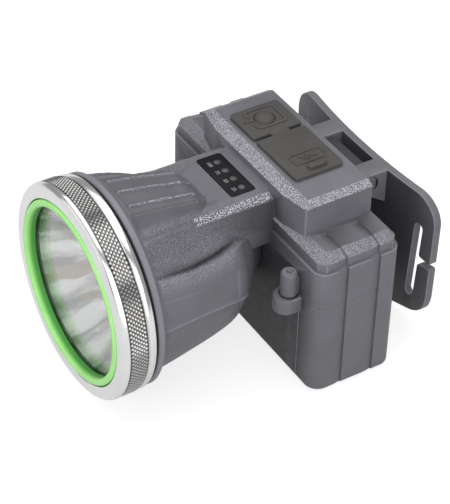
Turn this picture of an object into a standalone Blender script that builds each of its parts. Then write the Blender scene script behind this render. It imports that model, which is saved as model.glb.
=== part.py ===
"""Miner's cap lamp: a reflector lamp head moulded onto a battery case, with a tilting strap plate.

Frame: +Z up, -Y is the way the beam points, +X is the wearer's left-hand side seen from the front.
The origin is the centre of the case's underside.  Sizes are in millimetres and mm() makes metres.
"""
import math

import bmesh
import bpy
from mathutils import Matrix, Vector

# ---- driving dimensions, in millimetres ------------------------------------------------------
AXIS_Z = 30.0               # height of the lens axis, which is the bezel's radius

CASE_HALF_W = 38.0          # battery case, in plan
CASE_FRONT_Y = -12.2
CASE_BACK_Y = 13.9
CASE_CORNER_R = 4.0
CASE_WALL = 2.0
PARTING_Z = 28.6            # where the lower case meets the main housing
PARTING_GAP = 0.3
LIP_Z = 40.3                # ledge below the raised cap
CAP_INSET = 0.95
CAP_SIDE_Z = 42.7           # foot of the cap's chamfer
CAP_TOP_Z = 44.3
CAP_CHAMFER = 3.0
CAP_BACK_CHAMFER = (1.0, 1.2)

BLOCK_HALF_W = 25.3         # switch block on top of the cap
BLOCK_FRONT_Y = -10.4
BLOCK_CORNER_X = 17.0       # the front corners are cut back from here
BLOCK_CORNER_Y = -8.7
BLOCK_BACK_Y = 12.0
BLOCK_SIDE_Z = 52.45
BLOCK_TOP_Z = 53.7
BLOCK_CHAMFER_X = 2.2
BLOCK_CHAMFER_Y = 3.55

NECK_X = (-13.8, 12.9)      # flat-topped neck between the horn and the switch block
NECK_FOOT_SPREAD = 2.0
NECK_FRONT_Y = -38.0
NECK_FOOT_Z = 36.2
NECK_SIDE_Z = 49.05
NECK_TOP_Z = 49.7
NECK_CHAMFER_X = 1.2

STRIP_Y = ((-6.2, -3.1), (3.95, 6.9))   # the two recessed bands on each end of the case
STRIP_DEPTH = 0.7
STRIP_START_X = 26.3

BOSS_X = 27.0               # the two case screws stand in front of the case
BOSS_Y = -14.05
PIN_R = 2.37
PIN_TOP_Z = 36.2
COLLAR_Y = -14.9
COLLAR_R = 3.45
COLLAR_LOW_Z = 23.8
RIB_HALF_W = 2.6            # faint rib below each collar
RIB_PROUD = 0.35
SCREW_R = 1.0
SCREW_HEAD_R = 2.2

# Radius of the horn about the lens axis at stations along it, for four bearings round it.
# A bearing is the angle from straight up.  The shoulder falls away below the neck, and the
# step between the last two bearings is the groove along the horn's cheek.
HORN_STATIONS_Y = (-51.6, -45.2, -40.2, -37.2, -34.2, -30.2, -26.7, -24.6, -22.2, -19.0, -15.8, -12.6)
HORN_TOP_R = (28.0, 26.9, 25.9, 25.2, 24.4, 23.4, 20.6, 18.8, 17.6, 16.2, 14.6, 12.6)
HORN_SHOULDER_R = (28.0, 26.5, 24.8, 23.5, 22.6, 21.5, 20.1, 18.9, 17.4, 15.6, 13.8, 11.6)
HORN_GROOVE_R = (27.8, 26.5, 25.3, 24.4, 23.6, 22.4, 20.9, 19.6, 17.8, 15.8, 13.8, 11.6)
HORN_CHEEK_R = (28.0, 27.1, 26.3, 25.8, 25.3, 24.5, 23.6, 22.7, 20.7, 17.8, 14.4, 11.0)
HORN_RING_Y = (-51.4, -50.6, -49.4, -45.2, -40.2, -37.2, -34.2, -30.2, -28.2, -27.0, -24.6, -22.2, -19.0,
               -15.8, -12.6)
HORN_TOP_BEARING = 20.0
HORN_SHOULDER_BEARING = 35.0
HORN_GROOVE_BEARING = 55.5
HORN_CHEEK_BEARING = 58.5
HORN_SEGMENTS = 72
FLANGE_R = 29.4
FLANGE_FRONT_Y = -54.2
FLANGE_BACK_Y = -51.8
SPIGOT_R = 27.0
SPIGOT_FRONT_Y = -58.3
HORN_BORE = ((-58.8, 25.3), (-48.0, 24.6), (-40.0, 22.4), (-34.0, 19.9), (-30.0, 18.5), (-26.0, 17.6))

FLUTE_BEARINGS = (-12.2, 0.0, 12.2)     # raised ridges along the horn's top pad
FLUTE_HALF_ANGLE = 1.9
FLUTE_HEIGHT = 0.55
PAD_RECESS = 0.45
PAD_FRONT_Y = -50.0
PAD_BACK_Y = -27.5
PAD_HALF_BEARING = 18.0
PANEL_BEARINGS = (71.0, 88.0)           # recessed panel on each cheek
PANEL_FRONT_Y = -50.0
PANEL_BACK_Y = -27.5
PANEL_DEPTH = 0.45
CHIN_BEARING = 99.0                     # below this the horn is a little slimmer
CHIN_DEPTH = 0.5

BEZEL_R = 30.0              # over the knurl
BEZEL_BAND_R = 29.7
BEZEL_FRONT_Y = -64.7
BEZEL_ROUND = 1.8
KNURL_BACK_Y = -57.35
BEZEL_BACK_Y = -55.2
BEZEL_LIP_R = 25.9
BEZEL_LIP_BACK_Y = -63.3
BEZEL_BORE_R = 27.35
ROUND_STEPS = 60

RING_FRONT_Y = -65.1        # soft ring between bezel and lens
RING_OUTER_R = 25.6
RING_INNER_R = 23.6
RING_FLANGE_R = 27.0
RING_FLANGE_Y = (-63.0, -62.2)
LENS_R = 26.6
LENS_Y = (-61.9, -59.9)
REFLECTOR_FRONT_Y = -59.6
REFLECTOR_FLANGE_R = 26.6
REFLECTOR_RIM_R = 23.6
REFLECTOR_FOCAL = 5.2
REFLECTOR_HOLE_R = 4.6
REFLECTOR_WALL = 1.0
REFLECTOR_STATIONS = 7
LED_BOARD_R = 8.0
LED_BOARD_FRONT_Y = -31.2
LED_BOARD_T = 1.6
HEAT_SINK_R = 16.9
HEAT_SINK_Y = (-29.3, -26.4)
EMITTER_HALF = 2.5
EMITTER_DOME_R = 1.7
SEAL_Y = (-54.9, -54.5)
SEAL_R = (27.3, 28.9)

PAD_X = (-17.8, 15.5)       # silicone pad on the switch block
PAD_Y = (-5.6, 9.7)
PAD_T = 1.1
PAD_LIFT = 0.05
PAD_CORNER_R = 1.2
NOTCH_X = (-5.0, -3.9)
NOTCH_Y = (-0.3, 5.4)
BUTTON_X = -11.8
BUTTON_Y = 2.1
BUTTON_R = 2.9
BUTTON_PROUD = 1.0
FRAME_X = (-16.75, -7.65)   # raised frame round the button, open at the front for a short bar
FRAME_Y = (-2.4, 7.4)
FRAME_STROKE = 0.95
FRAME_HEIGHT = 0.25
FRAME_GAP_X = (-13.8, -10.85)
BAR_X = (-12.65, -11.75)
BAR_Y = (-4.2, -1.05)
TAB_X = 13.1
TAB_Y = 2.6
TAB_SIZE = (2.0, 5.8, 1.1)
SOCKET_X = 6.5
SOCKET_Y = 2.1
SOCKET_SIZE = (2.9, 7.6, 5.4)
SOCKET_SLOT = (3.3, 8.0)

WINDOW_X = (-10.35, 8.1)    # charge gauge on the neck
WINDOW_Y = (-20.4, -12.9)
WINDOW_T = 0.55
LED_X = (-7.05, -2.95, 1.15, 5.25)
LED_Y = -15.45
LED_R = 0.9

PIVOT_Y = 20.1              # tilt hinge
PIVOT_Z = 41.8
PIVOT_R = 1.55
PIVOT_BORE_R = 1.7
LUG_HALF_W = 7.1
LUG_BACK_Y = 23.0
LUG_TOP_Z = 44.2
LUG_LOW_Z = 37.0
EAR_X = (7.5, 13.6)
EAR_FRONT_R = 3.2
EAR_LOW_Z = 34.5
HEAD_POCKET_R = 2.7
HEAD_POCKET_DEPTH = 1.6
PLATE_FACE_Y = 25.1         # the plate's case side, at mid-width
PLATE_T = 2.35
PLATE_CURVE_R = 200.0
PLATE_HALF_W = 33.0
PLATE_TOP_Z = 45.0
PLATE_TOP_CORNER = 8.0
PLATE_LOW_Z = 2.6
PLATE_LOW_CORNER = ((20.0, 3.0), (28.6, 5.1), (31.6, 7.6), (32.6, 11.2))
SLOT_TOP = (27.4, 33.9)     # ends of the strap slot's centre line
SLOT_LOW = (26.2, 11.0)
SLOT_HALF_W = 1.45
SLIT_INNER_X = 27.5
SLIT_Z = ((24.9, 22.0), (24.0, 22.9))

CELL_R = 9.2                # two 18650 cells lie across the case
CELL_LENGTH = 65.0
CELL_Z = (11.9, 30.8)
BOARD_Z = 45.4
BOARD_T = 1.2
BOARD_HALF_W = 22.4
BOARD_Y = (-7.6, 9.6)
POST_XY = ((-20.0, -5.0), (20.0, 7.0))
POST_R = 2.0
BOARD_SCREW_R = 0.7


def mm(value):
    """Millimetres to metres, for a number or a sequence."""
    if isinstance(value, (tuple, list)):
        return tuple(v * 0.001 for v in value)
    return value * 0.001


# ---- collections, materials and small helpers ------------------------------------------------
for old in list(bpy.data.objects):
    bpy.data.objects.remove(old)

parts = bpy.data.collections.new("miners_cap_lamp")
cutters = bpy.data.collections.new("cutters")
for group in (parts, cutters):
    bpy.context.scene.collection.children.link(group)


def material(name, colour, roughness, metallic=0.0, alpha=1.0):
    made = bpy.data.materials.new(name)
    made.use_nodes = True
    shader = made.node_tree.nodes["Principled BSDF"]
    shader.inputs["Base Color"].default_value = (*colour, 1.0)
    shader.inputs["Roughness"].default_value = roughness
    shader.inputs["Metallic"].default_value = metallic
    shader.inputs["Alpha"].default_value = alpha
    return made


GREY = material("grey_housing", (0.158, 0.155, 0.175), 0.5)
DARK_GREY = material("grey_lower_case", (0.15, 0.147, 0.166), 0.5)
PLATE_GREY = material("grey_plate", (0.165, 0.162, 0.18), 0.48)
OLIVE = material("olive_silicone", (0.098, 0.095, 0.082), 0.62)
GREEN = material("green_silicone", (0.36, 0.79, 0.25), 0.45)
POLISHED = material("polished_aluminium", (0.82, 0.82, 0.84), 0.16, 1.0)
MIRROR = material("mirror_coating", (0.93, 0.93, 0.94), 0.04, 1.0)
CLEAR = material("clear_lens", (0.95, 0.98, 0.97), 0.03, 0.0, 0.25)
BLACK = material("black_rubber", (0.012, 0.012, 0.013), 0.55)
SMOKED = material("smoked_window", (0.02, 0.02, 0.022), 0.25)
BARE_METAL = material("bare_aluminium", (0.6, 0.6, 0.62), 0.4, 1.0)
STEEL = material("plated_steel", (0.62, 0.62, 0.6), 0.3, 1.0)
BOARD_GREEN = material("circuit_board", (0.03, 0.16, 0.06), 0.5)
WHITE_BOARD = material("led_board_white", (0.8, 0.8, 0.78), 0.5)
EMITTER = material("emitter_phosphor", (0.85, 0.75, 0.2), 0.35)
CELL_WRAP = material("cell_wrap", (0.05, 0.16, 0.42), 0.4)
NICKEL = material("nickel_strip", (0.66, 0.63, 0.58), 0.3, 1.0)
WIRE = material("wire_insulation", (0.35, 0.02, 0.02), 0.45)


def add_object(name, mesh, finish, collection=parts):
    made = bpy.data.objects.new(name, mesh)
    collection.objects.link(made)
    if finish is not None:
        mesh.materials.append(finish)
    if collection is cutters:
        made.hide_render = True
        made.display_type = "WIRE"
    return made


def from_bmesh(name, bm, finish, collection=parts, smooth_angle=None):
    mesh = bpy.data.meshes.new(name)
    bmesh.ops.recalc_face_normals(bm, faces=bm.faces)
    bm.to_mesh(mesh)
    bm.free()
    if smooth_angle is not None:
        mesh.shade_smooth()
        mesh.set_sharp_from_angle(angle=math.radians(smooth_angle))
    return add_object(name, mesh, finish, collection)


def box_bmesh(low, high):
    """A box between two corners given in millimetres."""
    bm = bmesh.new()
    size = [h - l for l, h in zip(low, high)]
    middle = [(h + l) / 2 for l, h in zip(low, high)]
    place = Matrix.Translation(mm(middle)) @ Matrix.Diagonal((*mm(size), 1.0))
    bmesh.ops.create_cube(bm, size=1.0, matrix=place)
    return bm


def round_upright_edges(bm, radius, segments=4):
    upright = [e for e in bm.edges if abs((e.verts[0].co - e.verts[1].co).normalized().z) > 0.99]
    bmesh.ops.bevel(bm, geom=upright, offset=mm(radius), segments=segments, profile=0.5, affect="EDGES")


def slice_off(bm, point, normal):
    """Cut away what lies on the normal's side of a plane and close the cut."""
    everything = bm.verts[:] + bm.edges[:] + bm.faces[:]
    result = bmesh.ops.bisect_plane(bm, geom=everything, plane_co=mm(point), plane_no=normal, clear_outer=True)
    rim = [g for g in result["geom_cut"] if isinstance(g, bmesh.types.BMEdge)]
    if rim:
        bmesh.ops.contextual_create(bm, geom=rim)


def prism(name, outline, low_z, high_z, finish, collection=parts):
    """Extrude a closed plan outline of (x, y) points between two heights."""
    bm = bmesh.new()
    ring = [bm.verts.new(mm((x, y, low_z))) for x, y in outline]
    face = bm.faces.new(ring)
    grown = bmesh.ops.extrude_face_region(bm, geom=[face])
    lifted = [g for g in grown["geom"] if isinstance(g, bmesh.types.BMVert)]
    bmesh.ops.translate(bm, verts=lifted, vec=mm((0.0, 0.0, high_z - low_z)))
    return from_bmesh(name, bm, finish, collection)


def front_prism(name, outline, low_y, high_y, finish, collection=parts):
    """Extrude a closed front outline of (x, z) points between two depths."""
    bm = bmesh.new()
    ring = [bm.verts.new(mm((x, low_y, z))) for x, z in outline]
    face = bm.faces.new(ring)
    grown = bmesh.ops.extrude_face_region(bm, geom=[face])
    moved = [g for g in grown["geom"] if isinstance(g, bmesh.types.BMVert)]
    bmesh.ops.translate(bm, verts=moved, vec=mm((0.0, high_y - low_y, 0.0)))
    return from_bmesh(name, bm, finish, collection)


def side_prism(name, outline, low_x, high_x, finish, collection=parts):
    """Extrude a closed side outline of (y, z) points across the lamp."""
    bm = bmesh.new()
    ring = [bm.verts.new(mm((low_x, y, z))) for y, z in outline]
    face = bm.faces.new(ring)
    grown = bmesh.ops.extrude_face_region(bm, geom=[face])
    moved = [g for g in grown["geom"] if isinstance(g, bmesh.types.BMVert)]
    bmesh.ops.translate(bm, verts=moved, vec=mm((high_x - low_x, 0.0, 0.0)))
    return from_bmesh(name, bm, finish, collection)


def upright_cylinder(name, x, y, low_z, high_z, radius, finish=None, collection=cutters, segments=24):
    bm = bmesh.new()
    place = Matrix.Translation(mm((x, y, (low_z + high_z) / 2)))
    bmesh.ops.create_cone(bm, cap_ends=True, segments=segments, radius1=mm(radius), radius2=mm(radius),
                          depth=mm(high_z - low_z), matrix=place)
    return from_bmesh(name, bm, finish, collection, smooth_angle=40)


def cross_cylinder(name, low_x, high_x, radius, finish=None, collection=cutters, segments=24):
    """A cylinder along X on the tilt hinge's axis, with its origin there."""
    bm = bmesh.new()
    place = Matrix.Translation(mm(((low_x + high_x) / 2, 0.0, 0.0))) @ Matrix.Rotation(math.pi / 2, 4, "Y")
    bmesh.ops.create_cone(bm, cap_ends=True, segments=segments, radius1=mm(radius), radius2=mm(radius),
                          depth=mm(high_x - low_x), matrix=place)
    made = from_bmesh(name, bm, finish, collection, smooth_angle=40)
    made.location = mm((0.0, PIVOT_Y, PIVOT_Z))
    return made


def turned(name, profile, finish, steps=ROUND_STEPS, closed=False, collection=parts):
    """Turn a profile of (radius, y) points about the lens axis.

    The profile runs from the front (the beam side) down the outer side to the back.
    Local +Z is the way the beam points.
    """
    mesh = bpy.data.meshes.new(name)
    points = [mm((radius, 0.0, -y)) for radius, y in profile]
    edges = [(i, i + 1) for i in range(len(points) - 1)]
    if closed:
        edges.append((len(points) - 1, 0))
    mesh.from_pydata(points, edges, [])
    made = add_object(name, mesh, finish, collection)
    made.location = mm((0.0, 0.0, AXIS_Z))
    made.rotation_euler = (math.pi / 2, 0.0, 0.0)
    spin = made.modifiers.new("Screw", "SCREW")
    spin.steps = steps
    spin.render_steps = steps
    spin.use_merge_vertices = True
    spin.merge_threshold = 0.00001
    return made


def boolean(target, tool, operation):
    step = target.modifiers.new(operation.title() + "_" + tool.name, "BOOLEAN")
    step.operation = operation
    step.solver = "EXACT"
    step.object = tool


def cut(target, *tools):
    for tool in tools:
        boolean(target, tool, "DIFFERENCE")


def join(target, *tools):
    for tool in tools:
        boolean(target, tool, "UNION")


def parent_to(child, empty):
    child.parent = empty
    child.matrix_parent_inverse = empty.matrix_world.inverted()


def empty_at(name, place):
    made = bpy.data.objects.new(name, None)
    made.location = mm(place)
    parts.objects.link(made)
    bpy.context.view_layer.update()
    return made


# ---- main housing: cap, switch block, neck and horn in one moulding ---------------------------
def cap_body():
    """Upper half of the battery case with the raised, chamfered cap."""
    low = (-CASE_HALF_W, CASE_FRONT_Y, PARTING_Z + PARTING_GAP / 2)
    skirt = box_bmesh(low, (CASE_HALF_W, CASE_BACK_Y, LIP_Z))
    round_upright_edges(skirt, CASE_CORNER_R)
    housing = from_bmesh("main_housing", skirt, GREY)
    half_w = CASE_HALF_W - CAP_INSET
    front_y = CASE_FRONT_Y + CAP_INSET
    back_y = CASE_BACK_Y - CAP_INSET
    cap = box_bmesh((-half_w, front_y, LIP_Z - 2.0), (half_w, back_y, CAP_TOP_Z))
    round_upright_edges(cap, CASE_CORNER_R - CAP_INSET)
    rise = CAP_TOP_Z - CAP_SIDE_Z
    for side in (-1, 1):
        slice_off(cap, (side * half_w, 0.0, CAP_SIDE_Z), Vector((side * rise, 0.0, CAP_CHAMFER)))
    slice_off(cap, (0.0, front_y, CAP_SIDE_Z), Vector((0.0, -rise, CAP_CHAMFER)))
    run, drop = CAP_BACK_CHAMFER
    slice_off(cap, (0.0, back_y, CAP_TOP_Z - drop), Vector((0.0, drop, run)))
    join(housing, from_bmesh("cap_tool", cap, GREY, cutters))
    return housing


def switch_block():
    """Block with cut-back front corners and chamfers on its front and ends."""
    bm = bmesh.new()
    back = BLOCK_BACK_Y
    outline = ((-BLOCK_HALF_W, back), (-BLOCK_HALF_W, BLOCK_CORNER_Y), (-BLOCK_CORNER_X, BLOCK_FRONT_Y),
               (BLOCK_CORNER_X, BLOCK_FRONT_Y), (BLOCK_HALF_W, BLOCK_CORNER_Y), (BLOCK_HALF_W, back))
    floor_z = CAP_SIDE_Z - 1.5
    face = bm.faces.new([bm.verts.new(mm((x, y, floor_z))) for x, y in outline])
    grown = bmesh.ops.extrude_face_region(bm, geom=[face])
    lifted = [g for g in grown["geom"] if isinstance(g, bmesh.types.BMVert)]
    bmesh.ops.translate(bm, verts=lifted, vec=mm((0.0, 0.0, BLOCK_TOP_Z - floor_z)))
    bmesh.ops.recalc_face_normals(bm, faces=bm.faces)
    rise = BLOCK_TOP_Z - BLOCK_SIDE_Z
    for side in (-1, 1):
        slice_off(bm, (side * BLOCK_HALF_W, 0.0, BLOCK_SIDE_Z), Vector((side * rise, 0.0, BLOCK_CHAMFER_X)))
    slice_off(bm, (0.0, BLOCK_FRONT_Y, BLOCK_SIDE_Z), Vector((0.0, -rise, BLOCK_CHAMFER_Y)))
    return from_bmesh("block_tool", bm, GREY, cutters)


def neck():
    """Neck with a flat top, chamfered edges and sides that spread towards the foot."""
    low_x, high_x = NECK_X
    outline = ((low_x - NECK_FOOT_SPREAD, NECK_FOOT_Z), (low_x, NECK_SIDE_Z),
               (low_x + NECK_CHAMFER_X, NECK_TOP_Z), (high_x - NECK_CHAMFER_X, NECK_TOP_Z),
               (high_x, NECK_SIDE_Z), (high_x + NECK_FOOT_SPREAD, NECK_FOOT_Z))
    return front_prism("neck_tool", outline, NECK_FRONT_Y, BLOCK_FRONT_Y + 2.0, GREY, cutters)


def blend(x, knots_x, values):
    """Piecewise linear value at x."""
    if x <= knots_x[0]:
        return values[0]
    for i in range(len(knots_x) - 1):
        if x <= knots_x[i + 1]:
            share = (x - knots_x[i]) / (knots_x[i + 1] - knots_x[i])
            return values[i] + share * (values[i + 1] - values[i])
    return values[-1]


def fade(value, low, high, margin):
    """1 inside the span low..high, falling to 0 over the margin outside it."""
    outside = max(low - value, value - high, 0.0)
    return max(0.0, 1.0 - outside / margin)


def horn_radius(y, bearing):
    """Outer radius of the horn at a station and a bearing in degrees from straight up."""
    bearing = abs(bearing)
    knots = (HORN_TOP_BEARING, HORN_SHOULDER_BEARING, HORN_GROOVE_BEARING, HORN_CHEEK_BEARING)
    rows = (HORN_TOP_R, HORN_SHOULDER_R, HORN_GROOVE_R, HORN_CHEEK_R)
    radius = blend(bearing, knots, [blend(y, HORN_STATIONS_Y, row) for row in rows])
    on_pad = fade(y, PAD_FRONT_Y, PAD_BACK_Y, 1.5) * fade(bearing, 0.0, PAD_HALF_BEARING, 1.5)
    radius -= PAD_RECESS * on_pad
    for middle in FLUTE_BEARINGS:
        near = fade(bearing, abs(middle) - 0.4, abs(middle) + 0.4, FLUTE_HALF_ANGLE)
        radius += FLUTE_HEIGHT * near * on_pad / (2 if middle else 1)
    radius -= PANEL_DEPTH * fade(y, PANEL_FRONT_Y, PANEL_BACK_Y, 1.0) * fade(bearing, *PANEL_BEARINGS, 1.5)
    if bearing > CHIN_BEARING:
        radius -= CHIN_DEPTH * min(1.0, (bearing - CHIN_BEARING) / 3.0) * fade(y, -50.0, -20.0, 3.0)
    return radius


def round_ring(radius):
    """Ring of one radius, as a function of the bearing."""
    return lambda bearing: radius


def horn_ring(y):
    """Ring with the horn's carved outline at one station."""
    return lambda bearing: horn_radius(y, bearing)


def horn():
    """Spigot, flange and horn: rings round the lens axis, skinned into one closed form."""
    rings = [(SPIGOT_FRONT_Y, round_ring(SPIGOT_R - 0.4)), (SPIGOT_FRONT_Y + 0.5, round_ring(SPIGOT_R)),
             (FLANGE_FRONT_Y, round_ring(SPIGOT_R)), (FLANGE_FRONT_Y, round_ring(FLANGE_R - 0.3)),
             (FLANGE_FRONT_Y + 0.3, round_ring(FLANGE_R)), (FLANGE_BACK_Y, round_ring(FLANGE_R))]
    rings += [(y, horn_ring(y)) for y in HORN_RING_Y]
    bm = bmesh.new()
    laid = []
    for y, radius_at in rings:
        ring = []
        for i in range(HORN_SEGMENTS):
            bearing = 360.0 * i / HORN_SEGMENTS
            if bearing > 180.0:
                bearing -= 360.0
            angle = math.radians(bearing)
            radius = radius_at(bearing)
            ring.append(bm.verts.new(mm((radius * math.sin(angle), y, AXIS_Z + radius * math.cos(angle)))))
        laid.append(ring)
    for front, back in zip(laid, laid[1:]):
        for i in range(HORN_SEGMENTS):
            j = (i + 1) % HORN_SEGMENTS
            bm.faces.new((front[i], front[j], back[j], back[i]))
    bm.faces.new(laid[0])
    bm.faces.new(laid[-1])
    return from_bmesh("horn_tool", bm, GREY, cutters)


def hinge_lug():
    """Lug on the case's back that the strap plate's ears straddle."""
    outline = [(BLOCK_BACK_Y - 1.0, LUG_TOP_Z), (LUG_BACK_Y - 1.0, LUG_TOP_Z), (LUG_BACK_Y, LUG_TOP_Z - 1.0)]
    lug_round = LUG_BACK_Y - PIVOT_Y
    for i in range(7):
        angle = math.radians(-15.0 - 75.0 * i / 6)
        outline.append((PIVOT_Y + lug_round * math.cos(angle), PIVOT_Z + lug_round * math.sin(angle)))
    outline += [(CASE_BACK_Y + 1.0, LUG_LOW_Z), (CASE_BACK_Y - 1.0, LUG_LOW_Z - 1.0)]
    return side_prism("lug_tool", outline, -LUG_HALF_W, LUG_HALF_W, GREY, cutters)


def screw_pin(side):
    """Domed pin in front of the case that takes a case screw from below."""
    bm = bmesh.new()
    low = PARTING_Z + PARTING_GAP / 2
    shoulder = PIN_TOP_Z - 1.3
    place = Matrix.Translation(mm((side * BOSS_X, BOSS_Y, (low + shoulder) / 2)))
    bmesh.ops.create_cone(bm, cap_ends=True, segments=24, radius1=mm(PIN_R), radius2=mm(PIN_R),
                          depth=mm(shoulder - low), matrix=place)
    top = max(bm.faces, key=lambda f: f.calc_center_median().z)
    for inset, rise in ((0.35, 0.7), (0.85, 0.45), (0.7, 0.15)):
        grown = bmesh.ops.extrude_face_region(bm, geom=[top])
        bm.faces.remove(top)
        top = next(g for g in grown["geom"] if isinstance(g, bmesh.types.BMFace))
        middle = top.calc_center_median()
        radius = (top.verts[0].co - middle).length
        share = (radius - mm(inset)) / radius
        for v in top.verts:
            v.co = middle + (v.co - middle) * share + Vector(mm((0.0, 0.0, rise)))
    return from_bmesh("pin_tool", bm, GREY, cutters)


def pin_web(side):
    """Web that ties the pin to the case wall."""
    low = (side * BOSS_X - 1.3, BOSS_Y + 0.6, PARTING_Z + PARTING_GAP / 2)
    return from_bmesh("pin_web", box_bmesh(low, (side * BOSS_X + 1.3, CASE_FRONT_Y + 1.0, PIN_TOP_Z - 2.2)),
                      GREY, cutters)


def strip_cutter(side, span):
    """Follows the case's end, its lip, the cap's chamfer and the cap's top, a little below each."""
    outer = CASE_HALF_W + 1.0
    wall = CASE_HALF_W - STRIP_DEPTH
    cap_wall = CASE_HALF_W - CAP_INSET - 0.5
    outline = [(outer, -1.0), (wall, -1.0), (wall, LIP_Z - 0.4), (cap_wall, LIP_Z - 0.4),
               (cap_wall, CAP_SIDE_Z - 0.3), (cap_wall - CAP_CHAMFER + 0.3, CAP_TOP_Z - 0.5),
               (STRIP_START_X, CAP_TOP_Z - 0.5), (STRIP_START_X, CAP_TOP_Z + 1.0), (outer, CAP_TOP_Z + 1.0)]
    outline = [(side * x, z) for x, z in outline]
    return front_prism("strip_cutter", outline, span[0], span[1], None, cutters)


def housing_cavities():
    """Room for the cells, the boards, the gauge and the lamp parts."""
    inner_w = CASE_HALF_W - CASE_WALL
    front_y = CASE_FRONT_Y + CASE_WALL
    back_y = CASE_BACK_Y - CASE_WALL
    cells = box_bmesh((-inner_w, front_y, PARTING_Z - 2.0), (inner_w, back_y - 1.0, CAP_TOP_Z - 2.3))
    round_upright_edges(cells, 2.0, 2)
    boards = box_bmesh((-BLOCK_HALF_W + 2.6, -8.0, CAP_TOP_Z - 5.0),
                       (BLOCK_HALF_W - 2.6, BLOCK_BACK_Y - CASE_WALL, BLOCK_TOP_Z - 2.0))
    gauge = box_bmesh((-10.6, -21.0, 41.0), (10.6, -7.0, NECK_TOP_Z - 2.0))
    tools = [from_bmesh("cell_room", cells, None, cutters), from_bmesh("board_room", boards, None, cutters),
             from_bmesh("gauge_room", gauge, None, cutters)]
    profile = [(0.0, SPIGOT_FRONT_Y - 0.5)] + [(r, y) for y, r in HORN_BORE] + [(0.0, HORN_BORE[-1][0])]
    tools.append(turned("horn_bore", profile, None, 48, collection=cutters))
    passage = turned("wire_passage", [(0.0, -27.0), (2.4, -27.0), (2.4, -20.0), (0.0, -20.0)], None, 16,
                     collection=cutters)
    passage.location = mm((0.0, 0.0, AXIS_Z + 13.4))
    tools.append(passage)
    return tools


def housing_openings():
    """Holes in the outside: charging socket, switch, gauge lights and hinge bore."""
    sx, sy = (v / 2 for v in SOCKET_SLOT)
    socket = box_bmesh((SOCKET_X - sx, SOCKET_Y - sy, BLOCK_TOP_Z - 3.0),
                       (SOCKET_X + sx, SOCKET_Y + sy, BLOCK_TOP_Z + 1.0))
    window = box_bmesh((WINDOW_X[0] - 0.1, WINDOW_Y[0] - 0.1, NECK_TOP_Z - WINDOW_T - 0.1),
                       (WINDOW_X[1] + 0.1, WINDOW_Y[1] + 0.1, NECK_TOP_Z + 1.0))
    round_upright_edges(window, 0.8, 2)
    tools = [from_bmesh("socket_hole", socket, None, cutters), from_bmesh("window_recess", window, None, cutters),
             upright_cylinder("switch_hole", BUTTON_X, BUTTON_Y, BLOCK_TOP_Z - 3.0, BLOCK_TOP_Z + 1.0, 2.3)]
    for x in LED_X:
        tools.append(upright_cylinder("light_hole", x, LED_Y, NECK_TOP_Z - 3.0, NECK_TOP_Z, LED_R + 0.25,
                                      segments=16))
    tools.append(cross_cylinder("hinge_bore", -LUG_HALF_W - 1.0, LUG_HALF_W + 1.0, PIVOT_BORE_R))
    for side in (-1, 1):
        tools.append(upright_cylinder("pin_bore", side * BOSS_X, BOSS_Y, PARTING_Z - 1.0, PIN_TOP_Z - 1.6,
                                      SCREW_R + 0.1, segments=12))
    return tools


def make_main_housing():
    housing = cap_body()
    join(housing, switch_block(), neck(), horn(), hinge_lug())
    for side in (-1, 1):
        join(housing, pin_web(side), screw_pin(side))
    cut(housing, *housing_cavities())
    for x, y in POST_XY:
        join(housing, upright_cylinder("board_post", x, y, BOARD_Z + BOARD_T + 0.3, BLOCK_TOP_Z - 1.0, POST_R,
                                       segments=12))
        cut(housing, upright_cylinder("post_bore", x, y, BOARD_Z, BOARD_Z + 4.0, BOARD_SCREW_R + 0.15, segments=8))
    cut(housing, *housing_openings())
    for side in (-1, 1):
        for span in STRIP_Y:
            cut(housing, strip_cutter(side, span))
    # the horn's round back stops short of the lower case's front wall
    clear = box_bmesh((-CASE_HALF_W - 1.0, CASE_FRONT_Y - 0.3, -1.0),
                      (CASE_HALF_W + 1.0, CASE_BACK_Y + 1.0, PARTING_Z + PARTING_GAP / 2))
    cut(housing, from_bmesh("lower_case_room", clear, None, cutters))
    return housing


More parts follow.
